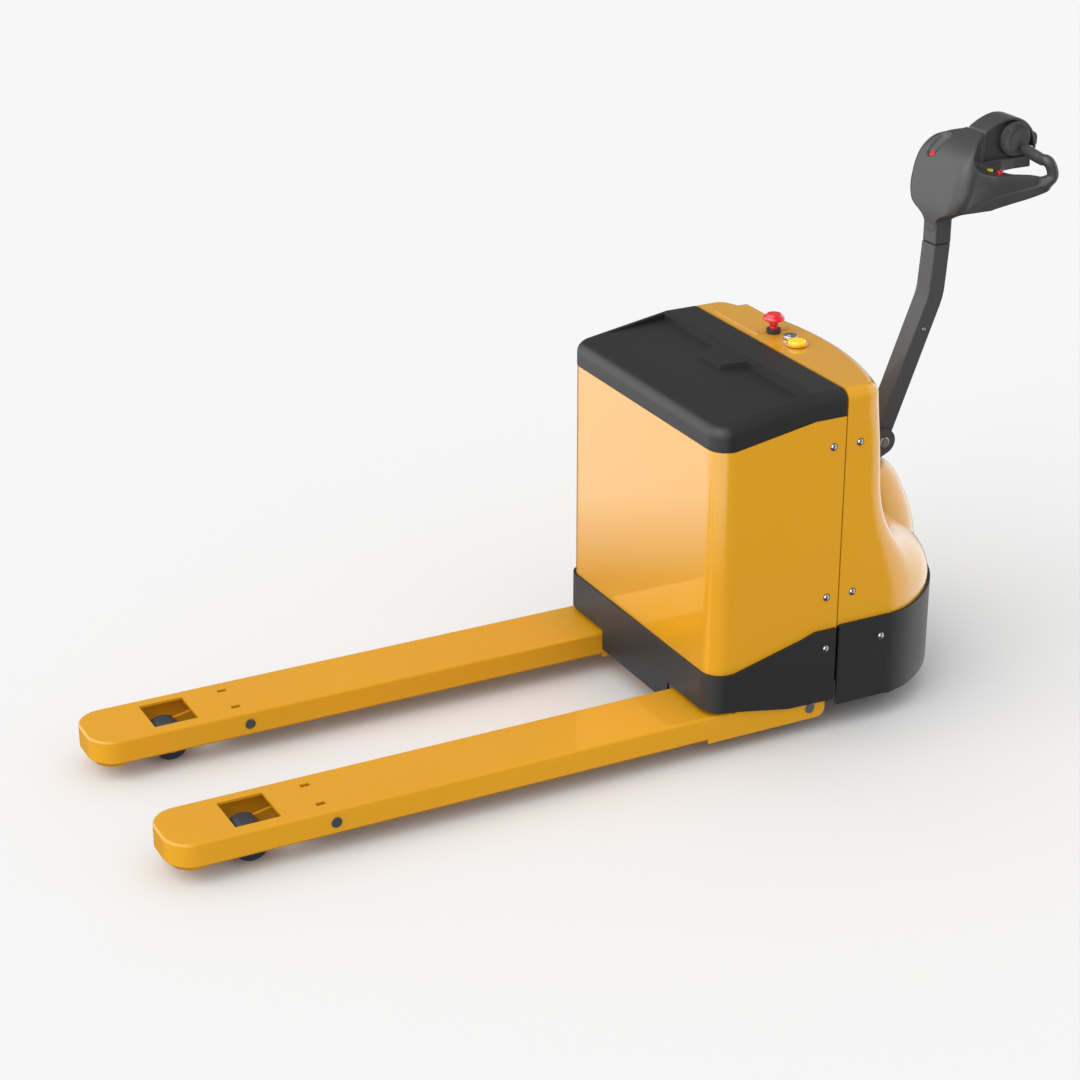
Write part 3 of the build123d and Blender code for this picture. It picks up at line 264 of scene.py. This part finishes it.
def turned(name, colour, roughness, stretch):
    """Machined metal: fine brushing drawn out along one direction, and cloudy plating."""
    finish = Finish(name, metallic=1.0, roughness=roughness)
    drawn = finish.node("ShaderNodeMapping", {}, {"Vector": finish.place(), "Scale": stretch})
    marks = finish.noise(600.0, 3.0, 0.6, drawn)
    cloud = finish.noise(26.0, 4.0)
    finish.drive("Base Color", finish.mixed(cloud, tinted(colour, 0.82), tinted(colour, 1.1)))
    finish.drive("Roughness", roughness - 0.06 + marks * 0.14)
    finish.relief(marks, 0.00002)
    return finish.material


steel = turned("turned_steel", (0.56, 0.56, 0.57), 0.28, (1, 0.08, 1))
zinc = turned("zinc_plate", (0.40, 0.44, 0.49), 0.38, (0.08, 1, 1))
cast_iron = turned("cast_housing", (0.16, 0.16, 0.165), 0.55, (1, 1, 1))
alloy = turned("motor_alloy", (0.52, 0.53, 0.55), 0.40, (1, 1, 0.1))
dress(steel, "lift_rod", "lid_hinge", "slewing_ring", "roller_axles", "key_rotor", "key_barrel",
      "tiller_pin", "tiller_screws")
dress(zinc, "linkage_pins", "pull_rods")
dress(cast_iron, "gearbox", "drive_wheel", "pump_motor", "lift_cylinder")
dress(alloy, "drive_motor", "motor_controller")

# ---------------------------------------------------------------- cover screws
# Domed steel screws with a hexagon socket and a thin washer hold the covers and skirts. Four small
# ones hold the control plate. The tree below makes one at every point it is given.


def screw_tree(name, radius, height, finish):
    """Geometry nodes: a domed socket head and its washer on every point, turned outward."""
    tree = bpy.data.node_groups.new(name, "GeometryNodeTree")
    face = tree.interface
    face.new_socket("Points", in_out="INPUT", socket_type="NodeSocketGeometry")
    sizes = {"Head radius": radius, "Head height": height, "Socket radius": radius * 0.62,
             "Socket depth": height * 1.4, "Washer radius": radius * 1.3,
             "Washer thickness": 1.4 * MM, "Squash": height / radius}
    for size, value in sizes.items():
        face.new_socket(size, in_out="INPUT", socket_type="NodeSocketFloat").default_value = value
    face.new_socket("Screws", in_out="OUTPUT", socket_type="NodeSocketGeometry")

    def add(kind, settings=None, inputs=None):
        made = tree.nodes.new(kind)
        for key, value in (settings or {}).items():
            setattr(made, key, value)
        for key, value in (inputs or {}).items():
            if isinstance(value, bpy.types.NodeSocket):
                tree.links.new(value, made.inputs[key])
            else:
                made.inputs[key].default_value = value
        return made

    given = add("NodeGroupInput").outputs
    dome = add("GeometryNodeMeshUVSphere", None,
               {"Segments": 32, "Rings": 16, "Radius": given["Head radius"]})
    flat = add("ShaderNodeCombineXYZ", None, {"X": 1.0, "Y": 1.0, "Z": given["Squash"]})
    head = add("GeometryNodeTransform", None,
               {"Geometry": dome.outputs[0], "Scale": flat.outputs[0]})
    rise = add("ShaderNodeCombineXYZ", None, {"Z": given["Head height"]})
    bore = add("GeometryNodeMeshCylinder", None,
               {"Vertices": 6, "Radius": given["Socket radius"], "Depth": given["Socket depth"]})
    hole = add("GeometryNodeTransform", None,
               {"Geometry": bore.outputs[0], "Translation": rise.outputs[0]})
    cut = add("GeometryNodeMeshBoolean", {"operation": "DIFFERENCE"},
              {"Mesh 1": head.outputs[0], "Mesh 2": hole.outputs[0]})
    washer = add("GeometryNodeMeshCylinder", None,
                 {"Vertices": 32, "Radius": given["Washer radius"],
                  "Depth": given["Washer thickness"]})
    both = add("GeometryNodeJoinGeometry")
    tree.links.new(cut.outputs[0], both.inputs[0])
    tree.links.new(washer.outputs[0], both.inputs[0])
    out = add("GeometryNodeInputNamedAttribute", {"data_type": "FLOAT_VECTOR"},
              {"Name": "outward"})
    turn = add("FunctionNodeAlignRotationToVector", {"axis": "Z"}, {"Vector": out.outputs[0]})
    put = add("GeometryNodeInstanceOnPoints", None,
              {"Points": given["Points"], "Instance": both.outputs[0],
               "Rotation": turn.outputs[0]})
    real = add("GeometryNodeRealizeInstances", None, {"Geometry": put.outputs[0]})
    done = add("GeometryNodeSetMaterial", None,
               {"Geometry": real.outputs[0], "Material": finish})
    add("NodeGroupOutput", None, {"Screws": done.outputs[0]})
    return tree


def screws(name, tree, places, body):
    """A plain mesh of screws; each place is a point and the direction outward from it."""
    points = bpy.data.meshes.new(name + "_points")
    points.from_pydata([p for p, _ in places], [], [])
    outward = points.attributes.new("outward", "FLOAT_VECTOR", "POINT")
    outward.data.foreach_set("vector", [part for _, way in places for part in way])
    carrier = bpy.data.objects.new(name + "_carrier", points)
    scene.collection.objects.link(carrier)
    carrier.modifiers.new("screws", "NODES").node_group = tree
    evaluated = carrier.evaluated_get(bpy.context.evaluated_depsgraph_get())
    mesh = bpy.data.meshes.new_from_object(evaluated)
    bpy.data.objects.remove(carrier)
    piece = bpy.data.objects.new(name, mesh)
    scene.collection.objects.link(piece)
    mesh.shade_smooth()
    mesh.set_sharp_from_angle(angle=radians(35))
    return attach(piece, body)


cover_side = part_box("front_cover")[1].y
skirt_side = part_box("front_skirt")[1].y
rear_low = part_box("rear_skirt")[0]
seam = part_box("rear_cover")[1].x
high_screw, low_screw, skirt_screw = 0.712, 0.344, 0.217
cover_screws = screw_tree("cover_screw", 7.2 * MM, 4.0 * MM, steel)
plate_screws = screw_tree("plate_screw", 3.2 * MM, 1.6 * MM, steel)

front_places, rear_places = [], [((rear_low.x, 0, skirt_screw), (-1, 0, 0))]
front_x, rear_x, skirt_x = seam + 0.034, seam - 0.036, seam - 0.118
for side in (-1, 1):
    for height in (high_screw, low_screw):
        front_places.append(((front_x, side * cover_side, height), (0, side, 0)))
        rear_places.append(((rear_x, side * cover_side, height), (0, side, 0)))
    front_places.append(((front_x, side * skirt_side, skirt_screw), (0, side, 0)))
    rear_places.append(((skirt_x, side * skirt_side, skirt_screw), (0, side, 0)))
front_set = screws("front_cover_screws", cover_screws, front_places, "lift_frame")
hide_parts("front_screws")
rear_set = screws("rear_cover_screws", cover_screws, rear_places, "drive_unit")
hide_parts("chassis_screws")

plate_low, plate_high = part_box("control_plate")
end_inset, side_inset = 0.007, 0.008
plate_places = [((x, y, plate_high.z), (0, 0, 1))
                for x in (plate_low.x + end_inset, plate_high.x - end_inset)
                for y in (plate_low.y + side_inset, plate_high.y - side_inset)]
screws("control_plate_screws", plate_screws, plate_places, "drive_unit")

# ---------------------------------------------------------------- wheels
# The load rollers are cast in blue-black polyurethane, the casters have rubber treads, and the
# drive wheel carries a pressed-on rubber tyre that dusts over in use.
roller_tread = moulding("roller_polyurethane", (0.035, 0.045, 0.060), 0.36, 260.0, 0.00008)
caster_tread = moulding("caster_rubber", (0.045, 0.045, 0.046), 0.60, 320.0, 0.00012)
tyre_rubber = moulding("drive_tyre_rubber", (0.030, 0.030, 0.030), 0.72, 240.0, 0.00025)
dress(roller_tread, "left_load_roller", "right_load_roller")
dress(caster_tread, "left_caster_wheel", "right_caster_wheel")
dress(tyre_rubber, "drive_tyre")

# ---------------------------------------------------------------- battery and oil tank
# Inside the covers: a battery in a black moulded case with its plug, which stands on the tray, and
# an oil tank in milky plastic beside the pump.
battery_case = moulding("battery_case", (0.040, 0.040, 0.045), 0.42, 300.0, 0.0001)
tank_plastic = moulding("oil_tank_plastic", (0.62, 0.61, 0.55), 0.45, 200.0, 0.00008)
dress(battery_case, "battery_pack", "battery_plug")
dress(tank_plastic, "oil_tank")

# ---------------------------------------------------------------- stop button, indicator and switch
# A red mushroom stop in a black collar, an amber indicator and a key switch stand on the painted
# plate on top of the rear cover. The same coloured plastics make the buttons on the tiller head.


def gloss_plastic(name, colour, roughness, **more):
    """Polished coloured plastic with a clear skin and the faintest moulding flow."""
    finish = Finish(name, roughness=roughness, coat_weight=0.6, coat_roughness=0.05, **more)
    flow = finish.noise(60.0, 3.0)
    finish.drive("Base Color", finish.mixed(flow, tinted(colour, 0.9), tinted(colour, 1.08)))
    finish.drive("Roughness", roughness - 0.04 + flow * 0.08)
    finish.relief(finish.noise(500.0, 1.0), 0.00001)
    return finish.material


stop_red = gloss_plastic("stop_red", (0.78, 0.012, 0.022), 0.22)
signal_yellow = gloss_plastic("signal_yellow", (0.88, 0.70, 0.02), 0.25)
lens_amber = gloss_plastic("lens_amber", (0.95, 0.60, 0.01), 0.12,
                           emission_color=(1.0, 0.55, 0.02, 1), emission_strength=0.25)
dress(stop_red, "estop_button", "left_horn_button", "right_horn_button")
dress(signal_yellow, "lift_button", "lower_button")
dress(lens_amber, "lamp_lens")
dress(cover_paint, "lamp_bezel")
dress(frame_paint, "estop_collar")

# ---------------------------------------------------------------- tiller arm
# A cranked arm of box section in smooth satin charcoal. It is pinned between the two lugs of the
# cast base that turns with the drive wheel.
arm_coat = paint("tiller_satin_coat", (0.060, 0.060, 0.062), 0.42, 0.15, 0.15)
dress(arm_coat, "tiller_arm", "tiller_base")

# ---------------------------------------------------------------- tiller head
# One moulded plastic shell, bolted to the arm: a shield over the neck that widens into two closed
# loops with a grip bar each. It is made as a solid field in millimetres, below zero inside, with
# rounded edges where its outlines meet, and skinned with quads.


def corner_cut(points, rounds=2):
    """A closed outline with its corners cut a few times over, so that it runs smoothly."""
    line = np.array(points, float)
    for _ in range(rounds):
        after = np.roll(line, -1, axis=0)
        cut = np.stack([0.75 * line + 0.25 * after, 0.25 * line + 0.75 * after], 1)
        line = cut.reshape(-1, 2)
    return line


def depth_in(outline, across, up):
    """Distance from a closed outline, below zero inside it, on a grid of two coordinates."""
    nearest = np.full(np.broadcast(across, up).shape, 1e9)
    crossings = np.zeros(nearest.shape, bool)
    for (ax, ay), (bx, by) in zip(outline, np.roll(outline, -1, axis=0)):
        dx, dy = bx - ax, by - ay
        part = ((across - ax) * dx + (up - ay) * dy) / (dx * dx + dy * dy + 1e-12)
        part = np.clip(part, 0, 1)
        away = (across - ax - part * dx) ** 2 + (up - ay - part * dy) ** 2
        nearest = np.minimum(nearest, away)
        if ay != by:
            crossings ^= ((ay > up) != (by > up)) & (across < ax + (up - ay) * dx / dy)
    return np.where(crossings, -1, 1) * np.sqrt(nearest)


def where_all(round_by, *fields):
    """What lies in every field, with the edges between them rounded."""
    fields = np.broadcast_arrays(*fields)
    over = sum(np.maximum(f + round_by, 0) ** 2 for f in fields)
    return np.minimum(np.maximum.reduce(fields), -round_by) + np.sqrt(over)


def less(round_by, field, taken):
    """A field with another taken out of it, and a rounded edge round the cut."""
    return where_all(round_by, field, -taken)


def joined(round_by, first, second):
    """Two fields in one, with a fillet where they meet."""
    return -where_all(round_by, -first, -second)


def skin(name, field, low, high, cell):
    """Mesh of a field's zero surface: a vertex in each cell it crosses, a quad for each edge."""
    axes = [np.arange(a, b + cell, cell) for a, b in zip(low, high)]
    grid = np.meshgrid(*axes, indexing="ij", sparse=True)
    value = np.ascontiguousarray(np.broadcast_to(field(*grid), [len(a) for a in axes]))
    inside = value < 0
    corner = [(i, j, k) for i in (0, 1) for j in (0, 1) for k in (0, 1)]
    shape = [n - 1 for n in value.shape]
    count = sum(inside[i:i + shape[0], j:j + shape[1], k:k + shape[2]].astype(np.int8)
                for i, j, k in corner)
    cells = np.argwhere((count > 0) & (count < 8))
    index = np.full(shape, -1)
    index[tuple(cells.T)] = np.arange(len(cells))
    total, hits = np.zeros((len(cells), 3)), np.zeros(len(cells))
    for a in corner:
        for axis in range(3):
            if a[axis]:
                continue
            b = tuple(c + (n == axis) for n, c in enumerate(a))
            va, vb = value[tuple((cells + a).T)], value[tuple((cells + b).T)]
            cross = (va < 0) != (vb < 0)
            share = np.where(cross, va / np.where(cross, va - vb, 1), 0)
            reached = np.array(a) + share[:, None] * (np.array(b) - np.array(a))
            total += cross[:, None] * reached
            hits += cross
    points = (cells + total / hits[:, None]) * cell + np.array(low)
    quads = []
    for axis in range(3):
        one, two = [n for n in range(3) if n != axis]
        near = [slice(None)] * 3
        far = [slice(None)] * 3
        near[axis], far[axis] = slice(0, -1), slice(1, None)
        edges = np.argwhere(inside[tuple(near)] != inside[tuple(far)])
        edges = edges[(edges[:, one] > 0) & (edges[:, two] > 0)
                      & (edges[:, one] < shape[one]) & (edges[:, two] < shape[two])]
        ring = []
        for back_one, back_two in ((1, 1), (0, 1), (0, 0), (1, 0)):
            at = edges.copy()
            at[:, one] -= back_one
            at[:, two] -= back_two
            ring.append(index[tuple(at.T)])
        ring = np.stack(ring, 1)
        outward = inside[tuple(edges.T)]
        if axis == 1:
            outward = ~outward
        quads.append(np.where(outward[:, None], ring, ring[:, ::-1]))
    mesh = bpy.data.meshes.new(name)
    mesh.from_pydata((points * MM).tolist(), [], np.concatenate(quads).tolist())
    mesh.validate()
    mesh.shade_smooth()
    piece = bpy.data.objects.new(name, mesh)
    scene.collection.objects.link(piece)
    return piece


def eased(points, rounds=3):
    """An open line with its corners cut, one row for each coordinate."""
    line = np.array(points, float)
    for _ in range(rounds):
        one, two = line[:-1], line[1:]
        cut = np.stack([0.75 * one + 0.25 * two, 0.25 * one + 0.75 * two], 1)
        line = np.concatenate([line[:1], cut.reshape(-1, line.shape[1]), line[-1:]])
    return line.T


def along(line, place):
    """The height of a line over every place."""
    return np.interp(place.ravel(), *line).reshape(place.shape)


def rod(x, y, z, start, end, radius):
    """Distance from a round rod with domed ends."""
    a, b = np.array(start), np.array(end)
    run = b - a
    part = ((x - a[0]) * run[0] + (y - a[1]) * run[1] + (z - a[2]) * run[2]) / (run @ run)
    part = np.clip(part, 0, 1)
    return np.sqrt((x - a[0] - part * run[0]) ** 2 + (y - a[1] - part * run[1]) ** 2
                   + (z - a[2] - part * run[2]) ** 2) - radius


joint_z, joint_front, joint_rear, joint_half = 1024.0, -889.0, -933.0, 26.0
neck_top, neck_round = 1110, 1.6
shield_round, shoulder_round, under_round = 34.0, 15.0, 2.5
side_lean, under_lean = 0.95, 0.9       # keep the field a distance where the outlines lean
crease_run = 55                         # height in which the waist above the crease fills out
strip_out, strip_slope, strip_end = 2.5, 0.08, -905
pocket_round, pocket_half, hole_round = 2.4, 35, 5.0
tongue_half, tongue_rear, tongue_top = 38, -1046, 1183
loop_half, loop_fillet = 36, 9.0
button_places, button_well, button_floor = ((-1012, 52), (-1023, 76)), 9.5, 1191
head_side = corner_cut([(-889, 960), (-889, 1060), (-885, 1092), (-884, 1122), (-890, 1160),
                        (-898, 1200), (-914, 1235), (-942, 1260), (-975, 1276), (-1002, 1284),
                        (-1001, 1284), (-1001, 1208), (-1001, 1212), (-1140, 1212), (-1148, 1200),
                        (-1148, 960)])
head_front = corner_cut([(-160, 960), (160, 960), (160, 1214), (114, 1218), (106, 1238),
                         (99, 1260), (82, 1282), (48, 1292), (-48, 1292), (-82, 1282),
                         (-99, 1260), (-106, 1238), (-114, 1218), (-160, 1214)])
full_half = eased([(-1156, 118), (-1146, 134), (-1128, 144), (-1088, 131), (-1040, 114),
                   (-985, 107), (-940, 108), (-896, 113), (-880, 107), (-866, 90)])
narrowing = eased([(-1156, 5), (-990, 5), (-940, 10), (-900, 18), (-866, 18)])
crease_high = eased([(-1156, 1184), (-1143, 1182), (-1127, 1178), (-1077, 1161), (-1025, 1151),
                     (-985, 1144), (-942, 1129), (-915, 1116), (-900, 1106), (-866, 1090)])
side_under = eased([(-1156, 1166), (-1143, 1160), (-1127, 1154), (-1077, 1135), (-1025, 1122),
                    (-990, 1115), (-957, 1104), (-930, 1084), (-900, 1060), (-866, 1040)])
front_under = eased([(0, 1030), (20, 1060), (27, 1086), (67, 1105), (95, 1114),
                     (160, 1122)], 2)
pocket_side = corner_cut([(-1006, 1330), (-1000, 1280), (-986, 1256), (-975, 1240), (-977, 1220),
                          (-1000, 1206), (-1030, 1197), (-1060, 1193), (-1108, 1194),
                          (-1135, 1192), (-1160, 1184), (-1240, 1184), (-1240, 1330)])
pocket_reach = eased([(30, 0), (46, 15), (62, 29), (76, 38), (90, 44), (160, 46)])
hand_hole = corner_cut([(-1042, 30), (-1042, 88), (-1062, 102), (-1094, 117), (-1116, 121),
                        (-1130, 108), (-1190, 96), (-1190, 30)])
grip_in = (-1118.0, 30.0, 1232.0)
loop_bend = eased([(-1114, 112, 1224), (-1117, 134, 1226), (-1128, 137, 1204), (-1131, 137, 1184),
                   (-1116, 130, 1172)], 2).T
grip_radius = 13.5
horn_low, horn_high, horn_dish = (-910.0, -47.0, 1240.0), (-942.0, -45.0, 1269.0), 20.0


def head_field(x, y, z):
    """The shell: a shield over its crease and under edge, a neck, pockets, hand holes and loops."""
    wide = np.abs(y)
    crease = along(crease_high, x)
    rise = np.clip((z - crease) / crease_run, 0, 1)
    waist = along(narrowing, x) * (1 - np.sin(rise * pi / 2))
    strip = np.where(z < crease, strip_out - strip_slope * (crease - z), 0) * (x < strip_end)
    flank = side_lean * (wide - along(full_half, x) + waist - strip)
    low = np.maximum(along(side_under, x), along(front_under, wide))
    body = where_all(shield_round, depth_in(head_side, x, z), flank)
    body = where_all(shoulder_round, body, depth_in(head_front, y, z))
    body = where_all(under_round, body, under_lean * (low - z))
    neck = where_all(neck_round, x - joint_front, joint_rear - x, wide - joint_half, z - neck_top)
    body = np.minimum(body, neck)
    reach = along(pocket_reach, wide)
    pocket = np.maximum(depth_in(pocket_side, x - reach, z), pocket_half - wide)
    body = less(pocket_round, body, pocket)
    body = less(hole_round, body, depth_in(hand_hole, x, wide) + 0 * z)
    under_hood = where_all(4.0, wide - tongue_half, x - tongue_rear, z - tongue_top)
    body = less(4.0, body, under_hood)
    bar = rod(x, wide, z, grip_in, loop_bend[0], grip_radius - 1)
    for start, end in zip(loop_bend, loop_bend[1:]):
        bar = np.minimum(bar, rod(x, wide, z, start, end, grip_radius))
    body = joined(loop_fillet, body, np.maximum(bar, loop_half - wide))
    body = less(3.0, body, rod(x, y, z, horn_low, horn_high, horn_dish))
    for bx, by in button_places:
        well = np.maximum(np.hypot(x - bx, wide - by) - button_well, button_floor - z)
        body = less(1.0, body, well)
    return where_all(0.8, body, joint_z - z)


fine_cell = 2.0
shell = skin("tiller_shell", head_field, (-1156, -158, 1018), (-866, 158, 1296), fine_cell)
shell_plastic = moulding("tiller_satin_plastic", (0.045, 0.045, 0.046), 0.40, 700.0, 0.00004)
shell.data.materials.append(shell_plastic)
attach(shell, "tiller")
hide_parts("tiller_head")

# ---------------------------------------------------------------- drum hood
# A moulded band bent over the speed drum, open at both sides so that a thumb reaches the discs.
# Its middle is a solid cheek, and its rear has a window and a stem hole for the belly button.
drum_x, drum_z = -1096.0, 1257.0
hood_half, band_wall, cheek, hood_low = 33.0, 7.0, 20.0, 1209
belly_z, window_half, window_rise, window_front = 1245, 27, 19, -1144
stem_hole, stem_front = 7, -1122
hood_outer = corner_cut([(-1000.5, 1120), (-1000.5, 1279), (-1014, 1289), (-1041, 1303),
                         (-1074, 1312), (-1110, 1305), (-1139, 1283), (-1155, 1252),
                         (-1158, 1222), (-1158, 1120)], 3)
hood_skirt = [(-1007.5, 1100), (-1007.5, 1236), (-1170, 1226), (-1170, 1100)]


def hood_field(x, y, z):
    wide = np.abs(y)
    outside = depth_in(hood_outer, x, z)
    band = where_all(3.0, outside, wide - hood_half)
    hollow = np.minimum(outside + band_wall, depth_in(hood_skirt, x, z))
    band = less(1.2, band, np.maximum(hollow, cheek - wide))
    window = where_all(3.0, wide - window_half, np.abs(z - belly_z) - window_rise,
                       x - window_front)
    band = less(1.0, band, window)
    stem = np.maximum(np.hypot(y, z - belly_z) - stem_hole, x - stem_front)
    return where_all(1.0, less(0.5, band, stem), hood_low - z)


hood_cell = 1.5
hood = skin("drum_hood", hood_field, (-1164, -38, 1203), (-994, 38, 1318), hood_cell)
hood.data.materials.append(shell_plastic)
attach(hood, "tiller")
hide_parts("head_hood")

# ---------------------------------------------------------------- grip sleeves
# A soft plastic sleeve is pushed over each grip bar, from beside the hood to the loop's outer
# corner. It swells a little in the middle and rolls in at both ends.
grip_rubber = moulding("grip_soft_plastic", (0.060, 0.060, 0.061), 0.36, 800.0, 0.00003)


def turned_piece(name, profile, centre, axis, finish, steps=64):
    """Closed solid turned about an axis; its profile is (distance, radius) from axis to axis."""
    out = Vector(axis).normalized()
    first = out.orthogonal().normalized()
    second = out.cross(first)
    points, faces, rings = [], [], []
    for distance, radius in profile:
        middle = Vector(centre) + out * distance
        if radius < 1e-6:
            rings.append([len(points)])
            points.append(middle)
            continue
        rings.append(list(range(len(points), len(points) + steps)))
        turns = [2 * pi * n / steps for n in range(steps)]
        points += [middle + radius * (first * cos(t) + second * sin(t)) for t in turns]
    for low, high in zip(rings, rings[1:]):
        for n in range(steps):
            m = (n + 1) % steps
            face = [low[n % len(low)], low[m % len(low)],
                    high[m % len(high)], high[n % len(high)]]
            face = list(dict.fromkeys(face))
            if len(face) > 2:
                faces.append(face)
    mesh = bpy.data.meshes.new(name)
    mesh.from_pydata([p * MM for p in points], [], faces)
    mesh.materials.append(finish)
    mesh.shade_smooth()
    mesh.set_sharp_from_angle(angle=radians(40))
    piece = bpy.data.objects.new(name, mesh)
    scene.collection.objects.link(piece)
    return piece


grip_run = Vector(loop_bend[0]) - Vector(grip_in)
sleeve_in, sleeve_out = 8.0, 86.0
sleeve_profile = [(sleeve_in, 0), (sleeve_in, 11), (sleeve_in + 1, 12.4), (sleeve_in + 3, 13.2),
                  (30, 13.8), (50, 14.0), (70, 13.8), (sleeve_out - 7, 13.2),
                  (sleeve_out - 3, 12.2), (sleeve_out - 1, 10.5), (sleeve_out, 8),
                  (sleeve_out, 0)]
for side, name in ((1, "left_grip_sleeve"), (-1, "right_grip_sleeve")):
    start = Vector((grip_in[0], side * grip_in[1], grip_in[2]))
    run = Vector((grip_run.x, side * grip_run.y, grip_run.z))
    sleeve = turned_piece(name, sleeve_profile, start, run, grip_rubber)
    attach(sleeve, "tiller")
    if side > 0:
        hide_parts("grip_bars")

# ---------------------------------------------------------------- speed drum
# Two dished plastic discs on one axle, one on each side of the hood's cheek, that turn together.
# Each has a hollow for the thumb towards the front and a flat facet towards the rear.
disc_rim, disc_out, disc_gap = 42.0, 33.0, 0.8
dish_radius, dish_back = 60.0, 50
facet_turn, facet_slope, facet_in, facet_back = 0.5, 0.4, 6, 2
drum_plastic = moulding("drum_satin_plastic", (0.055, 0.055, 0.056), 0.30, 800.0, 0.00003)


def disc_field(x, y, z):
    """One disc: a hollow dish towards the front and a flat facet towards the rear and down."""
    wide = np.abs(y)
    dx, dz = x - drum_x, z - drum_z
    plate = where_all(1.6, np.hypot(dx, dz) - disc_rim, wide - disc_out, cheek + disc_gap - wide)
    hollow = np.sqrt(dx ** 2 + dz ** 2 + (wide - disc_out - dish_back) ** 2) - dish_radius
    back = -dx * cos(facet_turn) - dz * sin(facet_turn)
    facet = (wide - disc_out + facet_in) * cos(facet_slope) - (back + facet_back) * sin(facet_slope)
    return less(1.0, plate, where_all(1.0, hollow, -facet))


disc_cell = 1.2
for side, name in ((1, "left_speed_disc"), (-1, "right_speed_disc")):
    low_y, high_y = sorted((side * 18, side * 36))
    disc = skin(name, disc_field, (-1142, low_y, 1211), (-1050, high_y, 1303), disc_cell)
    disc.data.materials.append(drum_plastic)
    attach(disc, "throttle")
    if side > 0:
        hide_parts("throttle")
dress(drum_plastic, "belly_button")

# ---------------------------------------------------------------- horn key
# A small key in the stop button's red plastic, set in the dish on the shield's shoulder. It is a
# short turned plug with a rounded rim, whose root stays inside the shell.
horn_seat, horn_out = (-914.0, -47.0, 1231.0), (0.55, -0.15, 0.82)
horn_profile = [(-14, 0), (-14, 9), (-6, 9), (-4.5, 8), (-4, 6), (-4, 0)]
horn_key = turned_piece("horn_key", horn_profile, horn_seat, horn_out, stop_red, 32)
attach(horn_key, "tiller")

# ---------------------------------------------------------------- floor finish
# The floor is a matt pale sheet.
floor_finish = Finish("floor_pale", roughness=0.9, specular_ior_level=0.1)
floor_finish.shader.inputs["Base Color"].default_value = (0.76, 0.76, 0.76, 1)
floor_mesh.materials.append(floor_finish.material)
